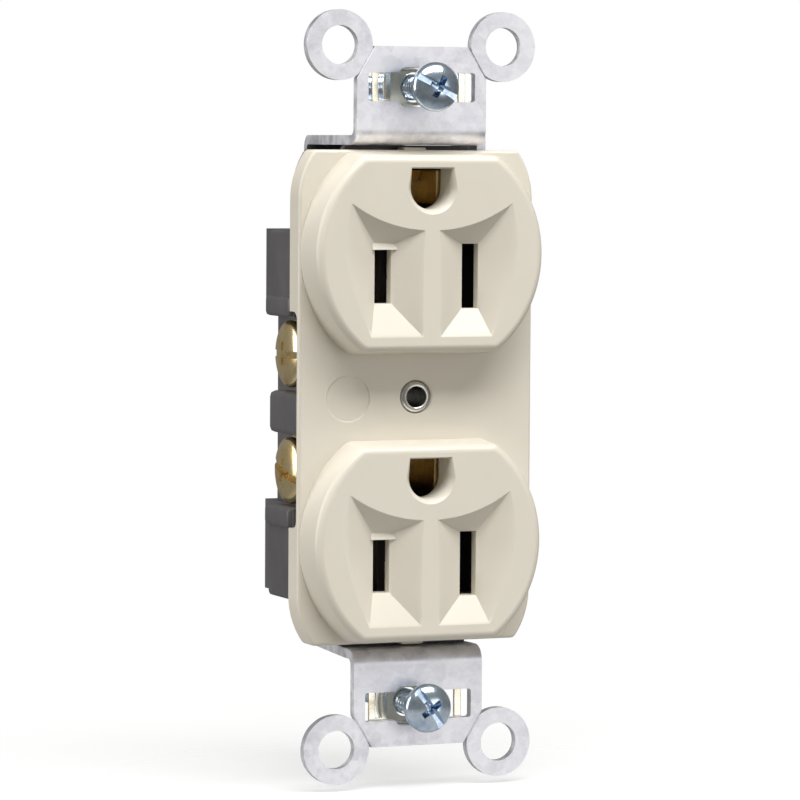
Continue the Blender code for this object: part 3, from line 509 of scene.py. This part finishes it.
def funnel(side, centre_z):
    """Lead-in hollow round one blade slot: crisp above and below, fading out softly at its sides.

    The mouth runs along the top arc, down the bulging outer side, back along the bottom and up the ridge.
    """
    def top_arc(x):
        return TOP_ARC_Z - math.sqrt(TOP_ARC_R ** 2 - x ** 2)

    inner_x, inner_low_x, outer_x = 0.95, 1.15, 11.7
    top_z, low_z = top_arc(inner_x), -11.2
    outer_top, outer_low, bulge = (outer_x, top_arc(outer_x)), (8.8, low_z), (14.95, 0.15)
    counts = (14, 20, 10, 14)
    top = [(x, top_arc(x)) for x, _ in along((inner_x, 0.0), (outer_x, 0.0), counts[0])]
    outer = []
    for i in range(counts[1]):
        t = i / counts[1]
        outer.append(tuple(
            outer_top[k] * (1 - t) ** 2 + 2 * bulge[k] * t * (1 - t) + outer_low[k] * t ** 2
            for k in (0, 1)
        ))
    mouth = top + outer
    mouth += along(outer_low, (inner_low_x, low_z), counts[2])
    mouth += along((inner_low_x, low_z), (inner_x, top_z), counts[3])
    left, right = SLOT_X - SLOT_W / 2, SLOT_X + SLOT_W / 2
    bottom = SLOT_BOTTOM[side]
    corners = [(left, SLOT_TOP), (right, SLOT_TOP), (right, bottom), (left, bottom)]
    throat = []
    for i, count in enumerate(counts):
        throat += along(corners[i], corners[(i + 1) % 4], count)
    crisp, softness = 0.02, []
    for peak, count in zip((crisp, 0.40, crisp, 0.13), counts):
        for i in range(count):
            rise = min(1.0, 4.0 * min(i, count - i) / count)
            softness.append(crisp + (peak - crisp) * rise)
    rings = [[(side * x, FACE_FRONT - 1.0, centre_z + z) for x, z in mouth]]
    for share in (0.0, 0.03, 0.07, 0.12, 0.18, 0.26, 0.36, 0.48, 0.62, 0.78, 0.9, 1.0):
        row = []
        for (mx, mz), (tx, tz), soft in zip(mouth, throat, softness):
            eased = (math.hypot(share, soft) - soft) / (math.hypot(1.0, soft) - soft)
            y = FACE_FRONT - 0.01 + (FUNNEL_DEPTH + 0.01) * eased
            row.append((side * (mx + (tx - mx) * share), y, centre_z + mz + (tz - mz) * share))
        rings.append(row)
    return loft(f"funnel_{side}_{centre_z}", rings)


def blade_slot(side, centre_z):
    """Slot with a relief behind its right wall, which the wall's eased edge leads into."""
    low = centre_z + SLOT_BOTTOM[side]
    top = centre_z + (HOT_SLOT_TOP if side < 0 else SLOT_TOP)
    eased_edge = ((0.9, -0.6), (1.9, -0.02), (2.1, 0.06), (2.5, 0.12), (3.2, 0.14))
    relief = ((3.5, -0.7), (8.7, -0.7))
    left = side * SLOT_X - SLOT_W / 2
    rings = []
    for depth, inset in eased_edge + relief:
        right = side * SLOT_X + SLOT_W / 2 - inset
        outline = [(left, low), (right, low), (right, top), (left, top)]
        rings.append(ring(outline, FACE_FRONT + depth))
    return loft(f"slot_{side}_{centre_z}", rings)


def hot_slot_ledge(centre_z):
    """Small ledge over the shorter slot; its face looks up and out."""
    root, upper = 2.6, SLOT_TOP + 0.3
    outline = [(1.55, HOT_SLOT_TOP), (2.0, upper), (root, upper), (root, HOT_SLOT_TOP)]
    sides = (-SLOT_X - SLOT_W / 2 - 0.4, -SLOT_X + SLOT_W / 2 + 0.7)
    rings = [[(x, FACE_FRONT + y, centre_z + z) for y, z in outline] for x in sides]
    return loft(f"hot_ledge_{centre_z}", rings)


def pin_hole(centre_z):
    """Grounding hole: level on top, half round below, with its rim bevelled most at the bottom."""
    def outline(lower, upper):
        """Outline grown by one amount at its round end and another at its level top."""
        middle = centre_z + PIN_DZ
        half = PIN_HALF_W + lower
        top = centre_z + PIN_TOP + upper
        points = arc((0.0, middle), half, 180.0, 360.0, 28)
        return points + [(PIN_HALF_W + upper, top), (-PIN_HALF_W - upper, top)]

    rim = FACE_FRONT
    return loft(f"pin_hole_{centre_z}", [
        ring(outline(PIN_BEVEL + 0.15, 0.3), rim - 1.0),
        ring(outline(PIN_BEVEL + 0.1, 0.22), rim - 0.02),
        ring(outline(PIN_BEVEL * 0.62, 0.06), rim + PIN_BEVEL_DEPTH * 0.3),
        ring(outline(PIN_BEVEL * 0.2, 0.0), rim + PIN_BEVEL_DEPTH * 0.75),
        ring(outline(0.0, 0.0), rim + PIN_BEVEL_DEPTH * 1.4),
        ring(outline(0.0, 0.0), COVER_REAR),
    ])


def make_cover():
    """Shell with two raised faces, hollow behind, and everything that is cut into it."""
    def outline(inset, y):
        half_w, half_l = COVER_HALF_W - inset, COVER_EDGE_Z - inset
        corner = max(0.3, COVER_CORNER_R - inset)
        return ring(drawn_in_rectangle(half_w, half_l, COVER_CURVE_Z, COVER_CURVE_R - inset, corner), y)

    rings = [outline(0.0, COVER_REAR), outline(0.0, COVER_FRONT + COVER_EDGE_R)]
    edge_steps = 5
    for i in range(1, edge_steps + 1):
        angle = math.pi / 2 * i / edge_steps
        y = COVER_FRONT + COVER_EDGE_R * (1 - math.sin(angle))
        rings.append(outline(COVER_EDGE_R * (1 - math.cos(angle)), y))
    cover = loft("cover", rings)
    faces = (FACE_Z, -FACE_Z)
    join(cover, *[raised_face(z) for z in faces])
    hollow = [outline(SKIRT_T, COVER_FRONT + COVER_WALL), outline(SKIRT_T, COVER_REAR + 1)]
    tools = [loft("hollow", hollow)]
    nibs = [
        box(f"nib_{side}", (-NIB_HALF_W, NIB_HALF_W), NIB_Y, (side * NIB_Z[0], side * NIB_Z[1]))
        for side in (-1, 1)
    ]
    for nib in nibs:
        round_edges(nib, 0.2, 3)
    join(cover, *nibs)
    cap_rear = FACE_FRONT + FACE_CAP_T
    for z in faces:
        inner_r, inner_flat = FACE_R - FACE_SIDE_T, FACE_FLAT - FACE_SIDE_T
        pocket = [
            flat_sided_circle(z, 0.0, y, inner_r, inner_flat, POCKET_CORNER)
            for y in (cap_rear, COVER_REAR + 1)
        ]
        tools.append(loft(f"pocket_{z}", pocket))
    middle_z, half = (NOTCH_LOW + NOTCH_HIGH) / 2, (NOTCH_HIGH - NOTCH_LOW) / 2
    for side in (-1, 1):
        middle = (NOTCH_FRONT + NOTCH_HALF_DEPTH, middle_z)
        profile = rounded_rectangle(NOTCH_HALF_DEPTH, half, NOTCH_R, middle, 6)
        inner, outer = side * (COVER_HALF_W - SKIRT_T - 0.3), side * (COVER_HALF_W + 1)
        tools.append(loft(f"notch_{side}", [[(x, y, z) for y, z in profile] for x in (inner, outer)]))
    cut(cover, *tools)
    post = [(POST_R, -2.0), (POST_R, POST_REAR - 0.4), (POST_TIP_R, POST_REAR)]
    join(cover, *[turned(f"post_{z}", post, (0, 0, z), REARWARD, 40) for z in POST_Z])
    bore = [(POST_BORE_R, 2.4), (POST_BORE_R, POST_REAR + 1)]
    tools = [turned(f"bore_{z}", bore, (0, 0, z), REARWARD, 32) for z in POST_Z]
    cut(cover, *[funnel(side, z) for z in faces for side in (-1, 1)])
    join(cover, *[hot_slot_ledge(z) for z in faces])
    for z in faces:
        tools += [blade_slot(side, z) for side in (-1, 1)]
        tools.append(pin_hole(z))
    eyelet_hole = [(2.9, -2.0), (2.62, 0.08), (2.3, 0.22), (2.2, 0.4), (2.2, 6.0)]
    tools.append(turned("eyelet_hole", eyelet_hole, (0, 0, 0), REARWARD))
    ejector = [
        (EJECTOR_R + 0.3, COVER_FRONT - 1),
        (EJECTOR_R, COVER_FRONT - 0.01),
        (EJECTOR_R - 0.18, COVER_FRONT + EJECTOR_DEPTH),
    ]
    tools.append(turned("ejector_mark", ejector, (EJECTOR_X, 0, EJECTOR_Z), REARWARD))
    cut(cover, *tools)
    clean(cover, 0.2)
    piece(cover, "front_cover", IVORY)


# ---- Strap ----

def band_profile():
    """Side profile of the band in (y, z): inside from the upper bend to the lower, then back outside."""
    middle_y = -STRAP_T + BEND_R
    leg_in = BEND_Z - BEND_R
    rear_in, rear_r = STRAP_REAR - STRAP_T, REAR_BEND_R
    upper_inner = [(-STRAP_T, BEND_Z)]
    upper_inner += arc((middle_y, BEND_Z), BEND_R, 190.0, 270.0, 10)
    upper_inner += arc((rear_in - rear_r, leg_in - rear_r), rear_r, 90.0, 0.0, 5)
    upper_outer = arc((STRAP_REAR - rear_r - STRAP_T, leg_in - rear_r), rear_r + STRAP_T, 0.0, 90.0, 8)
    upper_outer += arc((middle_y, BEND_Z), BEND_R - STRAP_T, 270.0, 180.0, 8)
    inner = upper_inner + [(y, -z) for y, z in reversed(upper_inner)]
    outer = [(y, -z) for y, z in reversed(upper_outer)] + upper_outer
    return inner + outer


def strap_prism(name, outline, depth=(-STRAP_T, 0.0)):
    return loft(name, [ring(outline, depth[0]), ring(outline, depth[1])])


def make_strap():
    """Band round the back, two plates with scored ears and windows, and the ground screw's tab."""
    profile = band_profile()
    strap = loft("strap", [[(x, y, z) for y, z in profile] for x in (-PLATE_HALF_W, PLATE_HALF_W)])
    tapers = []
    for side in (-1, 1):
        corners = [
            (PLATE_HALF_W, TAPER_Y[0]), (PLATE_HALF_W + 1, TAPER_Y[0]),
            (PLATE_HALF_W + 1, TAPER_Y[1]), (STRAP_BACK_HALF_W, TAPER_Y[1]),
        ]
        rings = [[(side * x, y, z) for x, y in corners] for z in (-40, 40)]
        tapers.append(loft(f"taper_{side}", rings))
    cut(strap, *tapers)
    tools, holes, through = [], [], (-3, 1)
    for sign in (1, -1):
        plate = [
            (-PLATE_HALF_W, BEND_Z - 0.01), (PLATE_HALF_W, BEND_Z - 0.01),
            (PLATE_HALF_W, PLATE_SCORE_Z), (PLATE_END_HALF_W, PLATE_END_Z),
            (-PLATE_END_HALF_W, PLATE_END_Z), (-PLATE_HALF_W, PLATE_SCORE_Z),
        ]
        tools.append(strap_prism(f"plate_{sign}", [(x, sign * z) for x, z in plate]))
        centre = (0.0, sign * SCREW_Z)
        window = rounded_rectangle(WINDOW_HALF_W, WINDOW_HALF_H, WINDOW_R, centre, 4)
        holes.append(strap_prism(f"window_{sign}", window, through))
        relief = rounded_rectangle(RELIEF_HALF_W, RELIEF_HALF_H, RELIEF_R, centre, 6)
        holes.append(strap_prism(f"relief_{sign}", relief, through))
        for side in (-1, 1):
            centre = (side * EAR_X, sign * EAR_Z)
            tools.append(strap_prism(f"ear_{sign}_{side}", circle(centre, EAR_R, 96)))
            holes.append(strap_prism(f"ear_hole_{sign}_{side}", circle(centre, EAR_HOLE_R, 64), through))
            start = Vector((side * PLATE_HALF_W, sign * PLATE_SCORE_Z))
            end = Vector((side * PLATE_END_HALF_W, sign * PLATE_END_Z))
            direction = (end - start).normalized()
            across = Vector((direction.y, -direction.x)) * SCORE_W / 2
            start, end = start - direction * SCORE_RUN_OUT, end + direction * SCORE_RUN_OUT
            for y in (-STRAP_T, 0.0):
                inward = SCORE_DEPTH if y < 0 else -SCORE_DEPTH
                rings = []
                for point in (start, end):
                    low, high = point - across, point + across
                    rings.append([
                        (low.x, y - inward, low.y), (high.x, y - inward, high.y),
                        (high.x, y, high.y), (point.x, y + inward, point.y), (low.x, y, low.y),
                    ])
                holes.append(loft(f"score_{sign}_{side}_{y}", rings))
    leg_z = (BEND_Z - BEND_R, BEND_Z - BEND_R + STRAP_T)
    tools.append(box("ground_arm", (5.0, GROUND_TAB_X[1]), GROUND_TAB_Y, leg_z))
    tools.append(box("ground_tab", GROUND_TAB_X, GROUND_TAB_Y, (GROUND_TAB_LOW, leg_z[1])))
    join(strap, *tools)
    rear = (STRAP_REAR - 3, STRAP_REAR + 2)
    rear_holes = [("eyelet_hole", EYELET_HOLE_R, 0)]
    rear_holes += [(f"screw_hole_{z}", ASSEMBLY_HOLE_R, z) for z in POST_Z]
    rear_holes += [(f"rivet_hole_{z}", RIVET_HOLE_R, z) for z in (FACE_Z + PIN_DZ, -FACE_Z + PIN_DZ)]
    for name, radius, z in rear_holes:
        holes.append(turned(name, [(radius, rear[0]), (radius, rear[1])], (0, 0, z), REARWARD))
    tap = [(GROUND_TAP_R, GROUND_TAB_X[0] - 1), (GROUND_TAP_R, GROUND_TAB_X[1] + 1)]
    holes.append(turned("ground_tap", tap, (0, GROUND_TAP_Y, GROUND_TAP_Z), (1, 0, 0)))
    cut(strap, *holes)
    clean(strap)
    round_edges(strap, 0.22, 3, 45.0)
    piece(strap, "mounting_strap", GALVANISED)


# ---- Screws ----

def thread_radius(angle, height, outer, depth):
    """Outside of a V thread at an angle round the shank and a height along it."""
    phase = (height / THREAD_PITCH - angle / (2 * math.pi)) % 1.0
    tooth = 1.0 - abs(2.0 * phase - 1.0)
    return outer - depth * (1.0 - min(1.0, max(0.0, 1.5 * tooth - 0.2)))


def threaded(name, head, shank_r, shank_l, centre, axis):
    """Screw: head profile from its top to its underside, then a shank with a real helical thread."""
    turn = Vector(axis).to_track_quat("Z", "Y").to_matrix()
    steps = 48
    rows = [[(r, h)] * steps for r, h in head]
    rows.append([(shank_r * 0.93, 0.0)] * steps)
    height = -PLAIN_NECK
    while height > -shank_l + 0.3:
        fade = min(1.0, (-height - PLAIN_NECK) / 0.6, (shank_l + height) / 1.2)
        depth = THREAD_DEPTH * fade + 0.02
        rows.append([
            (thread_radius(2 * math.pi * i / steps, height, shank_r, depth), height)
            for i in range(steps)
        ])
        height -= THREAD_PITCH / 8
    rows.append([(shank_r - 0.45, -shank_l + 0.12)] * steps)
    rows.append([(shank_r - 0.7, -shank_l)] * steps)
    rings = []
    for row in rows:
        ring_points = []
        for i, (radius, level) in enumerate(row):
            angle = 2 * math.pi * i / steps
            local = Vector((radius * math.cos(angle), radius * math.sin(angle), level))
            ring_points.append(Vector(centre) + turn @ local)
        rings.append(ring_points)
    return loft(name, rings)


def recess(name, kind, centre, axis, twist, head_r, head_t, floor):
    """Driver recess cutters: a full slot, and for a combination head a tapered cross as well."""
    turn = Vector(axis).to_track_quat("Z", "Y").to_matrix()
    turn = turn @ Matrix.Rotation(math.radians(twist), 3, "Z")

    def prism(label, sections):
        """Tapered bar through sections of (half width, half length, level)."""
        rings = [
            [Vector(centre) + turn @ Vector((x, y, level)) for x, y in (
                (-half_w, -half_l), (half_w, -half_l), (half_w, half_l), (-half_w, half_l))]
            for half_w, half_l, level in sections
        ]
        return loft(f"{name}_{label}", rings)

    tools = [prism("slot", [(0.46, head_r + 1, floor), (0.52, head_r + 1, head_t + 1)])]
    if kind == "cross":
        wing, deep = min(1.75, head_r * 0.52), floor - 0.75
        wings = [(0.18, 0.5, deep), (0.44, wing, head_t), (0.5, wing + 0.2, head_t + 1)]
        tools.append(prism("wings", wings))
        tools.append(prism("cross_wings", [(long, short, level) for short, long, level in wings]))
    return tools


def dome(head_r, head_t, power):
    """Domed head profile from the middle of its top down to its underside; a low power makes it flatter."""
    rim, steps, profile = 0.3, 12, []
    for i in range(steps + 1):
        radius = head_r * math.sin(math.pi / 2 * (i + 0.15) / (steps + 0.15))
        level = rim * head_t + (1 - rim) * head_t * max(0.0, 1 - (radius / head_r) ** 2) ** power
        profile.append((radius, level))
    profile += [(head_r, rim * head_t * 0.6), (head_r - 0.04, 0.06), (head_r - 0.12, 0.0)]
    return profile


def make_screw(node, finish, centre, axis, head, shank, twist, power=0.5):
    """Combination-head screw; head and shank are each (radius, length)."""
    screw = threaded(node, dome(*head, power), *shank, centre, axis)
    cut(screw, *recess(node, "cross", centre, axis, twist, *head, head[1] * 0.5))
    piece(screw, node, finish)


def make_ground_screw():
    """Screw with a slotted hexagon head."""
    node, axis, head_t = "ground_screw", (1, 0, 0), GROUND_HEAD_T
    low, high = span_mm(node)
    centre = (high.x - head_t, (low.y + high.y) / 2, (low.z + high.z) / 2)
    head_r = max(high.z - low.z, high.y - low.y) / 2
    flats = head_r * math.cos(math.pi / 6)
    round_core = [(flats * 0.55, head_t), (flats * 0.93, head_t - 0.02), (flats, head_t - 0.1)]
    round_core += [(flats, 0.05), (flats - 0.05, 0.0)]
    screw = threaded(node, round_core, TERMINAL_SHANK_R, centre[0] - low.x, centre, axis)
    turn = Vector(axis).to_track_quat("Z", "Y").to_matrix()
    edges = [(head_r - 0.35, 0.02), (head_r, 0.12), (head_r, head_t - 0.45), (head_r - 0.5, head_t - 0.12)]
    rings = []
    for radius, level in edges:
        row = []
        for i in range(6):
            angle = math.pi / 3 * i
            local = Vector((radius * math.cos(angle), radius * math.sin(angle), level))
            row.append(Vector(centre) + turn @ local)
        rings.append(row)
    join(screw, loft("hexagon", rings))
    cut(screw, *recess(node, "slot", centre, axis, 25.0, head_r, head_t, head_t * 0.45))
    piece(screw, node, GREEN)


def make_screws():
    for label, sign, twist in (("upper", 1, 62.0), ("lower", -1, 35.0)):
        node = f"mounting_screw_{label}"
        low, high = span_mm(node)
        centre = (0.0, low.y + MOUNT_HEAD_T, sign * SCREW_Z)
        head, shank = (high.x, MOUNT_HEAD_T), (MOUNT_SHANK_R, high.y - centre[1])
        make_screw(node, ZINC, centre, (0, -1, 0), head, shank, twist, 0.55)
    poles = (("hot", -1, BRASS, "brass"), ("neutral", 1, NICKEL, "nickel_plate"))
    for pole, side, finish, slot in poles:
        for label, twist in (("upper", 90.0), ("lower", 74.0)):
            node = f"{pole}_screw_{label}"
            low, high = span_mm(node)
            top, tip = (low.x, high.x) if side < 0 else (high.x, low.x)
            centre = (top - side * TERMINAL_HEAD_T, (low.y + high.y) / 2, (low.z + high.z) / 2)
            head = ((high.z - low.z) / 2, TERMINAL_HEAD_T)
            shank = (TERMINAL_SHANK_R, abs(centre[0] - tip))
            make_screw(node, finish, centre, (side, 0, 0), head, shank, twist, 0.42)
    for label, z in zip(("upper", "lower"), POST_Z):
        node = f"assembly_screw_{label}"
        low, high = span_mm(node)
        centre = (0.0, high.y - ASSEMBLY_HEAD_T, z)
        head, shank = (high.x, ASSEMBLY_HEAD_T), (ASSEMBLY_SHANK_R, centre[1] - low.y)
        make_screw(node, STEEL, centre, REARWARD, head, shank, 20.0)
    make_ground_screw()


# ---- Rivets, washers and the eyelet ----

def make_eyelet():
    """Tubular rivet with a rolled rim in front and a flared tail behind."""
    low, high = span_mm("centre_eyelet")
    front, rear = low.y, high.y
    profile = [(EYELET_TUBE_R, front + 0.62), (RIM_R - 0.1, front + 0.6)]
    crest_r, steps = EYELET_BORE_R + 0.16, 7
    for i in range(steps + 1):
        angle = math.pi / 2 * i / steps
        radius = crest_r + (RIM_R - crest_r) * math.cos(angle)
        profile.append((radius, front + RIM_T * (1 - math.sin(angle))))
    profile += [
        (EYELET_BORE_R + 0.05, front + 0.06),
        (EYELET_BORE_R, front + 0.2),
        (EYELET_BORE_R, rear - 0.35),
        (EYELET_BORE_R + 0.15, rear - 0.08),
        (TAIL_R - 0.3, rear),
        (TAIL_R, rear - 0.25),
        (TAIL_R - 0.05, rear - TAIL_T + 0.02),
        (EYELET_TUBE_R, rear - TAIL_T),
    ]
    rings = [ring(circle((0.0, 0.0), radius, 72), y) for radius, y in profile]
    piece(loft("eyelet", rings, closed=True), "centre_eyelet", STEEL)


def make_body():
    """Body with rounded edges, and end ribs that close the view between cover and strap."""
    node = "rear_body"
    body = bpy.data.objects.new(node, frame["nodes"][node].data.copy())
    bpy.context.scene.collection.objects.link(body)
    clean(body)
    ribs = [
        box(f"rib_{side}", (-RIB_HALF_W, RIB_HALF_W), RIB_Y, (side * RIB_ROOT, side * RIB_TOP))
        for side in (-1, 1)
    ]
    join(body, *ribs)
    round_edges(body, 0.22, 3)
    piece(body, node, DARK)


def make_small_parts():
    for node in ("ground_rivet_upper", "ground_rivet_lower"):
        refined(node, STEEL, 0.1)
    for node in ("retaining_washer_upper", "retaining_washer_lower"):
        refined(node, FIBRE, 0.1)
    for node in ("grounding_clip_upper", "grounding_clip_lower"):
        refined(node, CLIP_BRASS, 0.1)
    for label in ("upper", "lower"):
        refined(f"hot_clamp_{label}", BRASS, 0.08)
        refined(f"neutral_clamp_{label}", NICKEL, 0.08)
        refined(f"ground_contact_{label}", BRASS, 0.1)
    refined("ground_clamp", STEEL, 0.08)
    refined("hot_bus", BRASS, 0.1)
    refined("neutral_bus", NICKEL, 0.1)
    make_body()


# ---- Camera, light and floor ----

# Degrees, then millimetres.
CAMERA_AZIMUTH, CAMERA_ELEVATION, CAMERA_ROLL = -22.847, 3.428, 0.349
CAMERA_DISTANCE, CAMERA_LENS, CAMERA_SENSOR = 584.518, 195.77, 36.0
CAMERA_TARGET = Vector((-2.946, -1.3, -0.288))

# Room as the object sees it, straight down and straight up.
ROOM_BELOW, ROOM_ABOVE = (0.165, 0.160, 0.145, 1.0), (0.31, 0.30, 0.275, 1.0)
WHITE = (1.0, 1.0, 1.0, 1.0)

# Metres.
FLOOR_R, FLOOR_FADE_R, FLOOR_DROP = 0.21, 0.13, 0.001


def make_camera():
    """Camera on a sphere round its target, level but for a slight roll."""
    azimuth, elevation = math.radians(CAMERA_AZIMUTH), math.radians(CAMERA_ELEVATION)
    back = Vector((
        math.sin(azimuth) * math.cos(elevation),
        -math.cos(azimuth) * math.cos(elevation),
        math.sin(elevation),
    ))
    level = Vector((math.cos(azimuth), math.sin(azimuth), 0.0))
    up = back.cross(level)
    roll = math.radians(CAMERA_ROLL)
    across = level * math.cos(roll) + up * math.sin(roll)
    upright = up * math.cos(roll) - level * math.sin(roll)
    data = bpy.data.cameras.new("camera")
    data.lens = CAMERA_LENS
    data.sensor_width = CAMERA_SENSOR
    data.clip_start = 0.01
    camera = bpy.data.objects.new("camera", data)
    bpy.context.scene.collection.objects.link(camera)
    place = (CAMERA_TARGET + back * CAMERA_DISTANCE) * MM
    camera.matrix_world = Matrix.Translation(place) @ Matrix((
        (across.x, upright.x, back.x, 0.0),
        (across.y, upright.y, back.y, 0.0),
        (across.z, upright.z, back.z, 0.0),
        (0.0, 0.0, 0.0, 1.0),
    ))
    bpy.context.scene.camera = camera


def softbox(name, place, size, power):
    """Area light that faces the object; metres and watts."""
    data = bpy.data.lights.new(name, "AREA")
    data.shape = "RECTANGLE"
    data.size, data.size_y = size
    data.energy = power
    light = bpy.data.objects.new(name, data)
    bpy.context.scene.collection.objects.link(light)
    light.location = place
    light.rotation_mode = "QUATERNION"
    light.rotation_quaternion = Vector(place).to_track_quat("Z", "Y")


def make_light():
    """White backdrop, dim and graded as a light source, and softboxes above, at the left and in front."""
    world = bpy.data.worlds.new("studio")
    bpy.context.scene.world = world
    world.use_nodes = True
    tree = world.node_tree
    backdrop = tree.nodes["Background"]
    backdrop.inputs["Color"].default_value = WHITE
    backdrop.inputs["Strength"].default_value = 1.0
    room = tree.nodes.new("ShaderNodeBackground")
    room.inputs["Strength"].default_value = 1.0
    direction = tree.nodes.new("ShaderNodeSeparateXYZ")
    tree.links.new(tree.nodes.new("ShaderNodeTexCoord").outputs["Generated"], direction.inputs[0])
    height = tree.nodes.new("ShaderNodeMapRange")
    height.inputs["From Min"].default_value = -1.0
    tree.links.new(direction.outputs["Z"], height.inputs["Value"])
    tint = tree.nodes.new("ShaderNodeValToRGB")
    tint.color_ramp.elements[0].color = ROOM_BELOW
    tint.color_ramp.elements[1].color = ROOM_ABOVE
    tree.links.new(height.outputs["Result"], tint.inputs["Fac"])
    tree.links.new(tint.outputs["Color"], room.inputs["Color"])
    seen = tree.nodes.new("ShaderNodeLightPath")
    blend = tree.nodes.new("ShaderNodeMixShader")
    tree.links.new(seen.outputs["Is Camera Ray"], blend.inputs[0])
    tree.links.new(room.outputs[0], blend.inputs[1])
    tree.links.new(backdrop.outputs[0], blend.inputs[2])
    tree.links.new(blend.outputs[0], tree.nodes["World Output"].inputs["Surface"])
    softbox("overhead", (0.0, -0.39, 0.70), (0.90, 0.36), 8.9)
    softbox("left", (-0.78, 0.24, 0.20), (0.5, 0.6), 3.7)
    softbox("front_right", (0.42, -0.78, 0.0), (0.5, 0.45), 1.0)
    bpy.context.scene.view_settings.view_transform = "Standard"


def make_floor():
    """Pale disc under the object, which fades into the white of the studio."""
    shape = bmesh.new()
    bmesh.ops.create_circle(shape, cap_ends=True, radius=FLOOR_R, segments=96)
    mesh = bpy.data.meshes.new("floor")
    shape.to_mesh(mesh)
    shape.free()
    floor = bpy.data.objects.new("floor", mesh)
    bpy.context.scene.collection.objects.link(floor)
    floor.location.z = CAD_LOW.z - FLOOR_DROP
    made = Finish("floor_finish", Roughness=0.9)
    paper = made.noise(90.0, 3.0)
    made.wire(Base_Color=made.ramp(paper, [(0.3, (0.90, 0.90, 0.90)), (0.7, (0.93, 0.93, 0.93))]))
    distance = made.node("ShaderNodeVectorMath", {0: made.place}, operation="LENGTH")
    fade = made.spread(distance.outputs["Value"], 0.6, 1.0, 0.0, FLOOR_FADE_R)
    clear = made.node("ShaderNodeBsdfTransparent")
    shaders = {0: fade, 1: made.shader.outputs[0], 2: clear.outputs[0]}
    blend = made.node("ShaderNodeMixShader", shaders)
    made.tree.links.new(blend.outputs[0], made.tree.nodes["Material Output"].inputs["Surface"])
    mesh.materials.append(made.material)


make_cover()
make_strap()
make_screws()
make_eyelet()
make_small_parts()
make_camera()
make_light()
make_floor()
